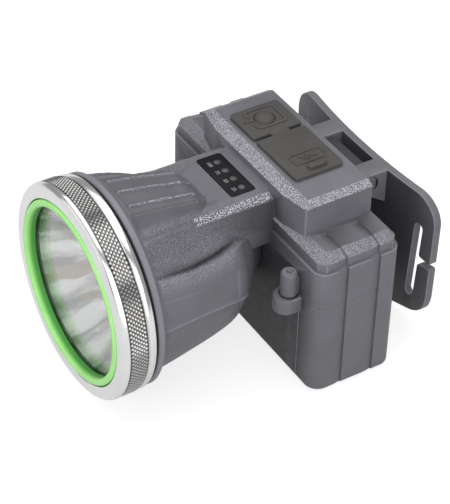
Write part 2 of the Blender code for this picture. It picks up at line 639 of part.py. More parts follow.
# ---- lower case ---------------------------------------------------------------------------------
def make_lower_case():
    top = PARTING_Z - PARTING_GAP / 2
    shell = box_bmesh((-CASE_HALF_W, CASE_FRONT_Y, 0.0), (CASE_HALF_W, CASE_BACK_Y, top))
    round_upright_edges(shell, CASE_CORNER_R)
    foot = [e for e in shell.edges if all(abs(v.co.z) < 1e-6 for v in e.verts)]
    bmesh.ops.bevel(shell, geom=foot, offset=mm(0.6), segments=1, profile=0.5, affect="EDGES")
    lower = from_bmesh("lower_case", shell, DARK_GREY)
    for side in (-1, 1):
        collar = upright_cylinder("collar_tool", side * BOSS_X, COLLAR_Y, COLLAR_LOW_Z, top, COLLAR_R)
        half_web = COLLAR_R - 0.12
        web_low = (side * BOSS_X - half_web, COLLAR_Y + 0.3, COLLAR_LOW_Z + 0.25)
        web = box_bmesh(web_low, (side * BOSS_X + half_web, CASE_FRONT_Y + 1.0, top - 0.1))
        rib_low = (side * BOSS_X - RIB_HALF_W, CASE_FRONT_Y - RIB_PROUD, 1.0)
        rib = box_bmesh(rib_low, (side * BOSS_X + RIB_HALF_W, CASE_FRONT_Y + 1.0, COLLAR_LOW_Z + 1.0))
        join(lower, from_bmesh("collar_rib", rib, DARK_GREY, cutters), collar,
             from_bmesh("collar_web", web, DARK_GREY, cutters))
    inner_w = CASE_HALF_W - CASE_WALL
    front_y = CASE_FRONT_Y + CASE_WALL
    back_y = CASE_BACK_Y - CASE_WALL
    room = box_bmesh((-inner_w, front_y, CASE_WALL), (inner_w, back_y, PARTING_Z + 1.0))
    round_upright_edges(room, 2.0, 2)
    cut(lower, from_bmesh("lower_room", room, None, cutters))
    ledge = box_bmesh((-inner_w - 1.0, front_y - 1.0, PARTING_Z - 1.0), (inner_w + 1.0, back_y + 1.0, PARTING_Z + 1.0))
    round_upright_edges(ledge, 2.6, 2)
    cut(lower, from_bmesh("gasket_ledge", ledge, None, cutters))
    for side in (-1, 1):
        cut(lower, upright_cylinder("collar_bore", side * BOSS_X, BOSS_Y, COLLAR_LOW_Z - 1.0, PARTING_Z + 1.0,
                                    SCREW_R + 0.3, segments=12),
            upright_cylinder("collar_pocket", side * BOSS_X, BOSS_Y, COLLAR_LOW_Z - 1.0, COLLAR_LOW_Z + 1.6,
                             SCREW_HEAD_R + 0.3, segments=20))
        for span in STRIP_Y:
            cut(lower, strip_cutter(side, span))
    return lower


def make_case_gasket():
    """Rubber ring squeezed in the ledge between the two case halves."""
    inner_w = CASE_HALF_W - CASE_WALL
    front_y = CASE_FRONT_Y + CASE_WALL
    back_y = CASE_BACK_Y - CASE_WALL
    ring = box_bmesh((-inner_w - 0.7, front_y - 0.7, PARTING_Z - 0.7), (inner_w + 0.7, back_y + 0.7, PARTING_Z - 0.1))
    round_upright_edges(ring, 2.3, 2)
    gasket = from_bmesh("case_gasket", ring, BLACK)
    hole = box_bmesh((-inner_w, front_y, PARTING_Z - 2.0), (inner_w, back_y, PARTING_Z + 2.0))
    round_upright_edges(hole, 2.0, 2)
    cut(gasket, from_bmesh("gasket_hole", hole, None, cutters))


def screw_bmesh(x, y, low_z, head_r, head_h, shank_r, shank_length):
    """A plain screw standing head down: head below, shank above, in one closed form."""
    bm = bmesh.new()
    place = Matrix.Translation(mm((x, y, low_z + head_h / 2)))
    bmesh.ops.create_cone(bm, cap_ends=True, segments=16, radius1=mm(head_r * 0.86), radius2=mm(head_r),
                          depth=mm(head_h), matrix=place)
    top = max(bm.faces, key=lambda f: f.calc_center_median().z)
    bmesh.ops.inset_individual(bm, faces=[top], thickness=mm(head_r - shank_r))
    grown = bmesh.ops.extrude_face_region(bm, geom=[top])
    bm.faces.remove(top)
    lifted = [g for g in grown["geom"] if isinstance(g, bmesh.types.BMVert)]
    bmesh.ops.translate(bm, verts=lifted, vec=mm((0.0, 0.0, shank_length)))
    return bm


def make_screws():
    """Two case screws under the collars and two small screws that hold the main board to its posts."""
    for side, hand in ((1, "left"), (-1, "right")):
        case_screw = screw_bmesh(side * BOSS_X, BOSS_Y, COLLAR_LOW_Z + 0.2, SCREW_HEAD_R, 1.2, SCREW_R - 0.1, 9.0)
        from_bmesh("case_screw_" + hand, case_screw, STEEL, smooth_angle=40)
    for (x, y), end in zip(POST_XY, ("front", "rear")):
        from_bmesh("board_screw_" + end, screw_bmesh(x, y, BOARD_Z - 1.3, 1.5, 1.0, BOARD_SCREW_R, 3.6), STEEL, smooth_angle=40)


# ---- cells and electronics ----------------------------------------------------------------------
def make_cells():
    """Cells lie along X: wrapped can, insulated shoulder and raised positive cap."""
    half = CELL_LENGTH / 2
    for name, z, turn in (("battery_cell_lower", CELL_Z[0], 1), ("battery_cell_upper", CELL_Z[1], -1)):
        mesh = bpy.data.meshes.new(name)
        profile = ((0.0, half), (2.9, half), (2.9, half - 1.0), (CELL_R - 0.7, half - 1.0),
                   (CELL_R, half - 1.6), (CELL_R, -half + 0.5), (CELL_R - 0.5, -half), (0.0, -half))
        mesh.from_pydata([mm((r, 0.0, h)) for r, h in profile], [(i, i + 1) for i in range(len(profile) - 1)], [])
        cell = add_object(name, mesh, CELL_WRAP)
        cell.location = mm((0.0, 0.0, z))
        cell.rotation_euler = (0.0, turn * math.pi / 2, 0.0)
        spin = cell.modifiers.new("Screw", "SCREW")
        spin.steps = 24
        spin.render_steps = 24
        spin.use_merge_vertices = True
        spin.merge_threshold = 0.00001


def make_cell_contacts():
    """Nickel strips that join the two cells at each end."""
    for side, hand in ((1, "left"), (-1, "right")):
        near, far = sorted((side * (CELL_LENGTH / 2 + 0.35), side * (CELL_LENGTH / 2 + 0.65)))
        strip = box_bmesh((near, -3.5, CELL_Z[0] - 3.0), (far, 3.5, CELL_Z[1] + 3.0))
        from_bmesh("cell_contact_" + hand, strip, NICKEL)


def make_main_board():
    low = (-BOARD_HALF_W, BOARD_Y[0], BOARD_Z)
    board = from_bmesh("main_board", box_bmesh(low, (BOARD_HALF_W, BOARD_Y[1], BOARD_Z + BOARD_T)), BOARD_GREEN)
    for x, y in POST_XY:
        cut(board, upright_cylinder("board_hole", x, y, BOARD_Z - 1.0, BOARD_Z + BOARD_T + 1.0, 1.0, segments=12))


def make_usb_socket():
    """Upright charging socket: a steel shell round an open slot with a tongue."""
    wide, deep, tall = SOCKET_SIZE
    low_z = BOARD_Z + BOARD_T + 0.1
    low = (SOCKET_X - wide / 2, SOCKET_Y - deep / 2, low_z)
    shell = from_bmesh("usb_socket", box_bmesh(low, (low[0] + wide, low[1] + deep, low_z + tall)), STEEL)
    slot = box_bmesh((low[0] + 0.4, low[1] + 0.4, low_z + 1.0),
                     (low[0] + wide - 0.4, low[1] + deep - 0.4, low_z + tall + 1.0))
    cut(shell, from_bmesh("socket_slot", slot, None, cutters))
    tongue = box_bmesh((SOCKET_X - 0.3, SOCKET_Y - 2.4, low_z + 0.5), (SOCKET_X + 0.3, SOCKET_Y + 2.4, low_z + tall - 0.8))
    join(shell, from_bmesh("socket_tongue", tongue, STEEL, cutters))


def make_switch():
    """Square tactile switch and the plunger that the button pushes."""
    low_z = BOARD_Z + BOARD_T + 0.1
    body = box_bmesh((BUTTON_X - 3.0, BUTTON_Y - 3.0, low_z), (BUTTON_X + 3.0, BUTTON_Y + 3.0, low_z + 3.2))
    switch = from_bmesh("tact_switch", body, BLACK)
    cut(switch, upright_cylinder("plunger_well", BUTTON_X, BUTTON_Y, low_z + 1.6, low_z + 4.0, 1.75, segments=16))
    travel_room = 0.8
    upright_cylinder("switch_plunger", BUTTON_X, BUTTON_Y, low_z + 1.6 + travel_room, BLOCK_TOP_Z - 1.0, 1.5,
                     BLACK, parts, 16)


def make_gauge():
    """Charge gauge: smoked window, four small lights and their board."""
    window = box_bmesh((WINDOW_X[0], WINDOW_Y[0], NECK_TOP_Z - WINDOW_T), (WINDOW_X[1], WINDOW_Y[1], NECK_TOP_Z))
    round_upright_edges(window, 0.8, 2)
    from_bmesh("gauge_window", window, SMOKED)
    board_top = NECK_TOP_Z - 3.2
    from_bmesh("gauge_board", box_bmesh((-9.6, -18.0, board_top - 1.0), (9.6, -13.0, board_top)), BOARD_GREEN)
    for number, x in enumerate(LED_X, 1):
        upright_cylinder("gauge_light_" + str(number), x, LED_Y, board_top + 0.1, NECK_TOP_Z - WINDOW_T - 0.4,
                         LED_R, WHITE_BOARD, parts, 12)


def wire(points, radius):
    """Round wire along a smooth path, with a closed end at each tip."""
    curve = bpy.data.curves.new("wire", "CURVE")
    curve.dimensions = "3D"
    curve.bevel_depth = mm(radius)
    curve.bevel_resolution = 1
    curve.use_fill_caps = True
    line = curve.splines.new("POLY")
    line.points.add(len(points) - 1)
    for point, place in zip(line.points, points):
        point.co = (*mm(place), 1.0)
    return curve


def make_led_wires():
    """Two wires from the main board through the horn's back to the lamp board."""
    for side, sign in ((1, "positive"), (-1, "negative")):
        x = side * 1.1
        path = [(x, -6.5, 44.4), (x, -12.0, 44.1), (x, -19.0, 43.6), (x, -24.0, 43.2), (x, -29.6, 43.0),
                (x, -31.6, 42.2), (x, -32.3, 40.6), (x, -32.3, 37.8), (x, -32.0, 36.6)]
        curve = wire(path, 0.55)
        holder = bpy.data.objects.new("wire_holder", curve)
        cutters.objects.link(holder)
        bpy.context.view_layer.update()
        graph = bpy.context.evaluated_depsgraph_get()
        mesh = bpy.data.meshes.new_from_object(holder.evaluated_get(graph))
        bm = bmesh.new()
        bm.from_mesh(mesh)
        bpy.data.objects.remove(holder)
        bpy.data.meshes.remove(mesh)
        bmesh.ops.remove_doubles(bm, verts=bm.verts, dist=0.00001)
        from_bmesh("led_wire_" + sign, bm, WIRE, smooth_angle=50)


# ---- lamp head ----------------------------------------------------------------------------------
def make_heat_sink():
    profile = [(0.0, HEAT_SINK_Y[0]), (HEAT_SINK_R - 0.4, HEAT_SINK_Y[0]), (HEAT_SINK_R, HEAT_SINK_Y[0] + 0.4),
               (HEAT_SINK_R, HEAT_SINK_Y[1]), (0.0, HEAT_SINK_Y[1])]
    sink = turned("heat_sink", profile, BARE_METAL, 40)
    slot = turned("sink_wire_hole", [(0.0, -31.0), (2.0, -31.0), (2.0, -25.0), (0.0, -25.0)], None, 16,
                  collection=cutters)
    slot.location = mm((0.0, 0.0, AXIS_Z + 13.0))
    cut(sink, slot)


def make_led_board():
    back = LED_BOARD_FRONT_Y + LED_BOARD_T
    profile = [(0.0, LED_BOARD_FRONT_Y), (LED_BOARD_R, LED_BOARD_FRONT_Y), (LED_BOARD_R, back), (0.0, back)]
    turned("led_board", profile, WHITE_BOARD, 32)


def make_emitter():
    """Square emitter package with its silicone dome."""
    back = LED_BOARD_FRONT_Y - 0.1
    base = box_bmesh((-EMITTER_HALF, back - 0.7, AXIS_Z - EMITTER_HALF), (EMITTER_HALF, back, AXIS_Z + EMITTER_HALF))
    package = from_bmesh("led_emitter", base, EMITTER)
    dome = [(0.0, back - 0.6 - EMITTER_DOME_R)]
    for i in range(1, 6):
        angle = math.radians(90.0 * i / 5)
        dome.append((EMITTER_DOME_R * math.sin(angle), back - 0.6 - EMITTER_DOME_R * math.cos(angle)))
    dome.append((0.0, back - 0.6))
    join(package, turned("dome_tool", dome, EMITTER, 24, collection=cutters))


def make_reflector():
    """Parabolic bowl with a flat rim under the lens and a hole for the emitter."""
    rim_depth = REFLECTOR_RIM_R ** 2 / (4 * REFLECTOR_FOCAL)
    vertex_y = REFLECTOR_FRONT_Y + rim_depth
    hole_depth = REFLECTOR_HOLE_R ** 2 / (4 * REFLECTOR_FOCAL)
    bowl = []
    for i in range(REFLECTOR_STATIONS):
        share = i / (REFLECTOR_STATIONS - 1)
        radius = REFLECTOR_RIM_R + share * (REFLECTOR_HOLE_R - REFLECTOR_RIM_R)
        bowl.append((radius, vertex_y - radius ** 2 / (4 * REFLECTOR_FOCAL)))
    flange_back = REFLECTOR_FRONT_Y + 1.0
    outside = [(REFLECTOR_FLANGE_R, REFLECTOR_FRONT_Y), (REFLECTOR_FLANGE_R, flange_back)]
    for radius, y in bowl:
        grown = radius + REFLECTOR_WALL
        outside.append((grown, max(y + 0.5 * REFLECTOR_WALL, flange_back + 0.1)))
    outside[2] = (REFLECTOR_RIM_R + REFLECTOR_WALL, flange_back)
    tube_back = vertex_y - hole_depth + 1.2
    outside.append((REFLECTOR_HOLE_R + REFLECTOR_WALL, tube_back))
    inside = [(REFLECTOR_HOLE_R, tube_back)] + bowl[::-1]
    turned("reflector", outside + inside, MIRROR, 48, closed=True)


def make_lens():
    front, back = LENS_Y
    profile = [(0.0, front), (LENS_R - 0.3, front), (LENS_R, front + 0.3), (LENS_R, back - 0.3),
               (LENS_R - 0.3, back), (0.0, back)]
    return turned("lens", profile, CLEAR, 48)


def make_lens_ring():
    """Soft green ring: a rounded lip round the lens with a flange behind the bezel."""
    soft = 0.6
    profile = [(RING_INNER_R + soft, RING_FRONT_Y), (RING_OUTER_R - soft, RING_FRONT_Y),
               (RING_OUTER_R, RING_FRONT_Y + soft), (RING_OUTER_R, RING_FLANGE_Y[0]),
               (RING_FLANGE_R, RING_FLANGE_Y[0]), (RING_FLANGE_R, RING_FLANGE_Y[1]),
               (RING_INNER_R, RING_FLANGE_Y[1]), (RING_INNER_R, RING_FRONT_Y + soft)]
    return turned("lens_ring", profile, GREEN, closed=True)


def make_bezel():
    """Knurled screw-on ring with a rounded front edge and a polished band at the back."""
    profile = []
    for i in range(5):
        angle = math.radians(90.0 * i / 4)
        profile.append((BEZEL_R - BEZEL_ROUND + BEZEL_ROUND * math.sin(angle),
                        BEZEL_FRONT_Y + BEZEL_ROUND - BEZEL_ROUND * math.cos(angle)))
    groove_r = BEZEL_BAND_R - 0.3
    profile += [(BEZEL_R, KNURL_BACK_Y - 0.3), (groove_r, KNURL_BACK_Y), (BEZEL_BAND_R, KNURL_BACK_Y + 0.3),
                (BEZEL_BAND_R, BEZEL_BACK_Y - 0.3), (BEZEL_BAND_R - 0.3, BEZEL_BACK_Y),
                (BEZEL_BORE_R, BEZEL_BACK_Y), (BEZEL_BORE_R, BEZEL_LIP_BACK_Y), (BEZEL_LIP_R, BEZEL_LIP_BACK_Y),
                (BEZEL_LIP_R, BEZEL_FRONT_Y + 0.2), (BEZEL_LIP_R + 0.2, BEZEL_FRONT_Y)]
    return turned("bezel_ring", profile, POLISHED, closed=True)


def make_head_seal():
    middle = (SEAL_Y[0] + SEAL_Y[1]) / 2
    profile = [(SEAL_R[1] - 0.15, SEAL_Y[0]), (SEAL_R[1], middle), (SEAL_R[1] - 0.15, SEAL_Y[1]),
               (SEAL_R[0], SEAL_Y[1]), (SEAL_R[0], SEAL_Y[0])]
    turned("head_seal", profile, BLACK, closed=True)


# ---- silicone pad: button and charging flap -----------------------------------------------------
def rounded_box(low, high, radius, segments=3):
    bm = box_bmesh(low, high)
    round_upright_edges(bm, radius, segments)
    return bm


def soften_top(bm, height, offset):
    """Small round along the edges at the given height."""
    rim = [e for e in bm.edges if all(abs(v.co.z - mm(height)) < 1e-6 for v in e.verts)]
    bmesh.ops.bevel(bm, geom=rim, offset=mm(offset), segments=2, profile=0.5, affect="EDGES")


def make_switch_pad():
    """Fixed left half of the silicone moulding, with a raised frame round the button."""
    low_z = BLOCK_TOP_Z + PAD_LIFT
    top_z = low_z + PAD_T
    bm = rounded_box((PAD_X[0], PAD_Y[0], low_z), (NOTCH_X[0], PAD_Y[1], top_z), PAD_CORNER_R)
    soften_top(bm, top_z, 0.25)
    pad = from_bmesh("switch_pad", bm, OLIVE)
    bridge_low = (NOTCH_X[0] - 1.0, NOTCH_Y[0], low_z)
    join(pad, from_bmesh("pad_bridge", box_bmesh(bridge_low, (NOTCH_X[1] - 0.45, NOTCH_Y[1], low_z + 0.45)),
                         OLIVE, cutters))
    frame_low = (FRAME_X[0], FRAME_Y[0], top_z - 0.3)
    frame_out = rounded_box(frame_low, (FRAME_X[1], FRAME_Y[1], top_z + FRAME_HEIGHT), 1.5)
    join(pad, from_bmesh("frame_out", frame_out, OLIVE, cutters))
    inner_low = (FRAME_X[0] + FRAME_STROKE, FRAME_Y[0] + FRAME_STROKE, top_z)
    frame_in = rounded_box(inner_low, (FRAME_X[1] - FRAME_STROKE, FRAME_Y[1] - FRAME_STROKE, top_z + 1.0), 0.7)
    frame_gap = box_bmesh((FRAME_GAP_X[0], FRAME_Y[0] - 1.0, top_z), (FRAME_GAP_X[1], FRAME_Y[0] + 1.5, top_z + 1.0))
    cut(pad, from_bmesh("frame_in", frame_in, None, cutters), from_bmesh("frame_gap", frame_gap, None, cutters))
    bar = rounded_box((BAR_X[0], BAR_Y[0], top_z - 0.3), (BAR_X[1], BAR_Y[1], top_z + FRAME_HEIGHT), 0.4)
    join(pad, from_bmesh("frame_bar", bar, OLIVE, cutters))
    cut(pad, upright_cylinder("button_hole", BUTTON_X, BUTTON_Y, BLOCK_TOP_Z - 1.0, top_z + 1.0, BUTTON_R + 0.15,
                              segments=32))
    return pad


def make_power_button():
    """Domed button with a stem over the switch plunger."""
    low_z = BLOCK_TOP_Z + 0.75
    crown = BLOCK_TOP_Z + PAD_LIFT + PAD_T + BUTTON_PROUD
    shoulder = crown - 0.9
    profile = [(0.0, crown), (BUTTON_R * 0.35, crown - 0.08), (BUTTON_R * 0.65, crown - 0.3),
               (BUTTON_R * 0.88, crown - 0.6), (BUTTON_R, shoulder), (BUTTON_R, low_z), (1.4, low_z),
               (1.4, BLOCK_TOP_Z - 0.8), (0.0, BLOCK_TOP_Z - 0.8)]
    mesh = bpy.data.meshes.new("power_button")
    mesh.from_pydata([mm((r, 0.0, z - crown)) for r, z in profile], [(i, i + 1) for i in range(len(profile) - 1)], [])
    button = add_object("power_button", mesh, OLIVE)
    button.location = mm((BUTTON_X, BUTTON_Y, crown))
    spin = button.modifiers.new("Screw", "SCREW")
    spin.steps = 32
    spin.render_steps = 32
    spin.use_merge_vertices = True
    spin.merge_threshold = 0.00001
    return button


def make_usb_flap():
    """Lifting flap with a pill-shaped tab on top and a plug that fills the socket's opening."""
    low_z = BLOCK_TOP_Z + PAD_LIFT
    top_z = low_z + PAD_T
    bm = rounded_box((NOTCH_X[1], PAD_Y[0], low_z), (PAD_X[1], PAD_Y[1], top_z), PAD_CORNER_R)
    soften_top(bm, top_z, 0.25)
    flap = from_bmesh("usb_flap", bm, OLIVE)
    tab = box_bmesh((TAB_X - TAB_SIZE[0] / 2, TAB_Y - TAB_SIZE[1] / 2, top_z - 0.5),
                    (TAB_X + TAB_SIZE[0] / 2, TAB_Y + TAB_SIZE[1] / 2, top_z + TAB_SIZE[2]))
    round_upright_edges(tab, 0.9, 4)
    soften_top(tab, top_z + TAB_SIZE[2], 0.4)
    join(flap, from_bmesh("tab_tool", tab, OLIVE, cutters))
    sx, sy = (v / 2 - 0.35 for v in SOCKET_SLOT)
    plug = box_bmesh((SOCKET_X - sx, SOCKET_Y - sy, BLOCK_TOP_Z - 1.2), (SOCKET_X + sx, SOCKET_Y + sy, low_z + 0.5))
    join(flap, from_bmesh("plug_tool", plug, OLIVE, cutters))
    return flap


# ---- strap plate and hinge ----------------------------------------------------------------------
def plate_outline():
    """Front outline of the plate: straight top, big round upper corners, sloped lower corners."""
    half = []
    for i in range(9):
        angle = math.radians(90.0 - 90.0 * i / 8)
        half.append((PLATE_HALF_W - PLATE_TOP_CORNER + PLATE_TOP_CORNER * math.cos(angle),
                     PLATE_TOP_Z - PLATE_TOP_CORNER + PLATE_TOP_CORNER * math.sin(angle)))
    half += list(PLATE_LOW_CORNER[::-1])
    half.append((0.0, PLATE_LOW_Z))
    left = [(-x, z) for x, z in half[-2::-1]]
    return half + left


def curved_slab():
    """Sheet bent about an upright axis, its ends lying back towards the head."""
    count = 21
    reach = PLATE_HALF_W + 3.0
    front = []
    back = []
    for i in range(count + 1):
        x = -reach + 2 * reach * i / count
        y = PLATE_FACE_Y + x * x / (2 * PLATE_CURVE_R)
        front.append((x, y))
        back.append((x, y + PLATE_T))
    return prism("head_bracket", front + back[::-1], PLATE_LOW_Z - 3.0, PLATE_TOP_Z + 3.0, PLATE_GREY)


def ear_outline():
    """Side outline of a hinge ear: flat top, round front about the pivot, foot on the plate."""
    outline = [(PLATE_FACE_Y + 0.9, PLATE_TOP_Z), (PIVOT_Y, PLATE_TOP_Z)]
    for i in range(1, 9):
        angle = math.radians(90.0 + 150.0 * i / 8)
        outline.append((PIVOT_Y + EAR_FRONT_R * math.cos(angle), PIVOT_Z + EAR_FRONT_R * math.sin(angle)))
    outline += [(PLATE_FACE_Y, EAR_LOW_Z), (PLATE_FACE_Y + 0.9, EAR_LOW_Z)]
    return outline


def slot_outline(side):
    """Strap slot: two straight sides and half-round ends."""
    (top_x, top_z), (low_x, low_z) = SLOT_TOP, SLOT_LOW
    points = []
    for end, start_angle in (((top_x, top_z), 0.0), ((low_x, low_z), 180.0)):
        for i in range(7):
            angle = math.radians(start_angle + 180.0 * i / 6)
            points.append((side * (end[0] + SLOT_HALF_W * math.cos(angle)), end[1] + SLOT_HALF_W * math.sin(angle)))
    return points


def make_head_bracket():
    plate = curved_slab()
    trim = front_prism("plate_trim", plate_outline(), PLATE_FACE_Y - 3.0, PLATE_FACE_Y + 12.0, None, cutters)
    boolean(plate, trim, "INTERSECT")
    for side in (-1, 1):
        low_x, high_x = sorted((side * EAR_X[0], side * EAR_X[1]))
        join(plate, side_prism("ear_tool", ear_outline(), low_x, high_x, PLATE_GREY, cutters))
    for side in (-1, 1):
        near_y = PLATE_FACE_Y - 1.0
        far_y = PLATE_FACE_Y + 12.0
        (inner_high, inner_low), (outer_high, outer_low) = SLIT_Z
        slit = [(side * SLIT_INNER_X, inner_high), (side * (PLATE_HALF_W + 1.0), outer_high),
                (side * (PLATE_HALF_W + 1.0), outer_low), (side * SLIT_INNER_X, inner_low)]
        cut(plate, front_prism("slot_cutter", slot_outline(side), near_y, far_y, None, cutters),
            front_prism("slit_cutter", slit, near_y, far_y, None, cutters))
        pocket_x = sorted((side * (EAR_X[1] - HEAD_POCKET_DEPTH), side * (EAR_X[1] + 1.0)))
        cut(plate, cross_cylinder("pivot_pocket", pocket_x[0], pocket_x[1], HEAD_POCKET_R))
    cut(plate, cross_cylinder("ear_bore", -EAR_X[1] - 1.0, EAR_X[1] + 1.0, PIVOT_BORE_R + 0.2))
    return plate


def make_pivot():
    """Pivot screw with its head in one ear, nut in the other, and a friction washer beside each ear."""
    head_x = EAR_X[1] - HEAD_POCKET_DEPTH + 0.1
    shank = cross_cylinder("pivot_screw", -EAR_X[1] + 0.4, head_x + 0.3, PIVOT_R, STEEL, parts)
    head = cross_cylinder("pivot_head", head_x, head_x + 1.2, HEAD_POCKET_R - 0.3)
    slot = box_bmesh((head_x + 0.7, -3.0, -0.3), (head_x + 2.0, 3.0, 0.3))
    slot_tool = from_bmesh("head_slot", slot, None, cutters)
    slot_tool.location = mm((0.0, PIVOT_Y, PIVOT_Z))
    join(shank, head)
    cut(shank, slot_tool)
    nut = cross_cylinder("pivot_nut", -head_x - 1.1, -head_x, HEAD_POCKET_R - 0.3, STEEL, parts, 6)
    cut(nut, cross_cylinder("nut_bore", -EAR_X[1] - 1.0, -EAR_X[0], PIVOT_R + 0.1))
    return shank, nut


# ---- assembly -----------------------------------------------------------------------------------
make_main_housing()
make_lower_case()
make_case_gasket()
make_screws()
make_cells()
make_cell_contacts()
make_main_board()
make_usb_socket()
make_switch()
make_gauge()
make_led_wires()
make_heat_sink()
make_led_board()
make_emitter()
make_reflector()
make_head_seal()
make_switch_pad()
make_power_button()
bezel_axis = empty_at("bezel_axis", (0.0, BEZEL_BACK_Y, AXIS_Z))
for piece in (make_bezel(), make_lens_ring(), make_lens()):
    parent_to(piece, bezel_axis)
flap_hinge = empty_at("flap_hinge", (NOTCH_X[1] - 0.2, (NOTCH_Y[0] + NOTCH_Y[1]) / 2, BLOCK_TOP_Z + 0.9))
parent_to(make_usb_flap(), flap_hinge)
tilt_hinge = empty_at("tilt_hinge", (0.0, PIVOT_Y, PIVOT_Z))
parent_to(make_head_bracket(), tilt_hinge)
for piece in make_pivot():
    parent_to(piece, tilt_hinge)
print("nodes:", len([o for o in parts.objects if o.type == "MESH"]))
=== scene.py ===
import bmesh
import bpy
import math
from mathutils import Euler, Matrix, Vector


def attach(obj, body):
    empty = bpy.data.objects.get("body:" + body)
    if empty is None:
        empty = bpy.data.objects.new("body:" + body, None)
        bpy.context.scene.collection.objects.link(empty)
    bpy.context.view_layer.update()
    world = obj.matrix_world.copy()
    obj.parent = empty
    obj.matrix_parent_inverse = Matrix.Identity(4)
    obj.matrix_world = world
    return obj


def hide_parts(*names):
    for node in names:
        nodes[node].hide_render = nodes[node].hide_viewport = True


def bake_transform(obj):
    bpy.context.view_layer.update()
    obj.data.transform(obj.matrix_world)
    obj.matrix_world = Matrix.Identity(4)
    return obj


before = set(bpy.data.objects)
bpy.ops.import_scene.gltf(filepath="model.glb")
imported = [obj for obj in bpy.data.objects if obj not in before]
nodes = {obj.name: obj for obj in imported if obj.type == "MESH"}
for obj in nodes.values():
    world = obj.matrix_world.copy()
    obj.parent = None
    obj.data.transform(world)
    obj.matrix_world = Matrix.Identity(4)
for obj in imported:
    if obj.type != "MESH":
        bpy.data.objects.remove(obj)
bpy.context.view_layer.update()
scene = bpy.context.scene
mm = 0.001
axisHeight = 30.0  # the head's axis above the foot of the case
lensCentre = Vector((0, 0, axisHeight * mm))
print("frame loaded:", len(nodes), "nodes")


# helpers for shapes, in millimetres
def at(x, y, z):
    return Vector((x * mm, y * mm, z * mm))


def boxMesh(low, high):
    bm = bmesh.new()
    size = [(h - l) * mm for l, h in zip(low, high)]
    middle = [(h + l) * mm / 2 for l, h in zip(low, high)]
    bmesh.ops.create_cube(bm, size=1, matrix=Matrix.Translation(middle) @ Matrix.Diagonal((*size, 1)))
    return bm


def discMesh(x, y, low, high, radius, steps=48):  # upright cylinder
    bm = bmesh.new()
    bmesh.ops.create_cone(bm, cap_ends=True, segments=steps, radius1=radius * mm, radius2=radius * mm,
                          depth=(high - low) * mm, matrix=Matrix.Translation(at(x, y, (low + high) / 2)))
    return bm


def running(edges, axis):  # the edges that run along x, y or z
    return [e for e in edges if abs((e.verts[0].co - e.verts[1].co).normalized()[axis]) > 0.99]


def spanOf(edge, axis):
    return abs(edge.verts[0].co[axis] - edge.verts[1].co[axis]) / mm


def atHeight(bm, z):
    return [e for e in bm.edges if all(abs(v.co.z - z * mm) < 1e-6 for v in e.verts)]


def sharpEdges(bm, degrees=25):
    limit = math.radians(degrees)
    return [e for e in bm.edges if len(e.link_faces) == 2 and e.is_convex and e.calc_face_angle(0) > limit]


def roundEdges(bm, edges, width, segments=3):
    bmesh.ops.bevel(bm, geom=list(edges), offset=width * mm, segments=segments, profile=0.5, affect="EDGES",
                    material=-1, clamp_overlap=True)


def roundUpright(bm, width, segments):
    roundEdges(bm, running(bm.edges, 2), width, segments)
    return bm


def softTop(bm, z, width, segments=3):  # rounds the rim at height z
    rim = [e for e in atHeight(bm, z) if len(e.link_faces) == 2 and e.calc_face_angle(0) > 0.6]
    roundEdges(bm, rim, width, segments)
    return bm


def placed(plane, a, b, c):  # a and b lie in the plane, c across it
    return {"xy": at(a, b, c), "xz": at(a, c, b), "yz": at(c, a, b)}[plane]


def pushedOut(points, plane, low, high):  # flat outline swept across its plane
    bm = bmesh.new()
    face = bm.faces.new([bm.verts.new(placed(plane, a, b, low)) for a, b in points])
    grown = bmesh.ops.extrude_face_region(bm, geom=[face])
    moved = [g for g in grown["geom"] if isinstance(g, bmesh.types.BMVert)]
    bmesh.ops.translate(bm, verts=moved, vec=placed(plane, 0, 0, high - low))
    bmesh.ops.recalc_face_normals(bm, faces=bm.faces)
    return bm


def turned(profile, steps, closed=False, centre=lensCentre, axis=(0, 1, 0)):  # profile of (radius, along)
    bm = bmesh.new()
    along = Vector(axis)
    out = Vector((1, 0, 0)) if abs(along.x) < 0.5 else Vector((0, 1, 0))
    flat = centre - along * centre.dot(along)
    verts = [bm.verts.new(flat + out * r * mm + along * y * mm) for r, y in profile]
    edges = [bm.edges.new(pair) for pair in zip(verts, verts[1:])]
    if closed:
        edges.append(bm.edges.new((verts[-1], verts[0])))
    bmesh.ops.spin(bm, geom=verts + edges, cent=flat, axis=along, dvec=(0, 0, 0), angle=2 * math.pi,
                   steps=steps, use_merge=True, use_duplicate=False)
    bmesh.ops.remove_doubles(bm, verts=bm.verts, dist=1e-6)
    bmesh.ops.recalc_face_normals(bm, faces=bm.faces)
    return bm


def turnedUp(profile, x, y, steps):  # profile of (radius, height)
    return turned(profile, steps, centre=at(x, y, 0), axis=(0, 0, 1))


def rodMesh(radius, low, high, y, z, steps):  # cylinder lying along x
    profile = [(0, low), (radius, low), (radius, high), (0, high)]
    return turned(profile, steps, centre=at(0, y, z), axis=(1, 0, 0))


def cutAcross(bm, x):  # a loop of edges at x
    everything = bm.verts[:] + bm.edges[:] + bm.faces[:]
    bmesh.ops.bisect_plane(bm, geom=everything, plane_co=at(x, 0, 0), plane_no=(1, 0, 0), dist=1e-7)


def chamferTop(bm, low, high, z):  # lifts the top face to z and draws its rim in to low..high
    top = max(bm.faces, key=lambda f: f.calc_center_median().z)
    grown = bmesh.ops.extrude_face_region(bm, geom=[top])
    bm.faces.remove(top)
    for v in [g for g in grown["geom"] if isinstance(g, bmesh.types.BMVert)]:
        v.co.x = max(low[0] * mm, min(high[0] * mm, v.co.x))
        v.co.y = max(low[1] * mm, min(high[1] * mm, v.co.y))
        v.co.z = z * mm


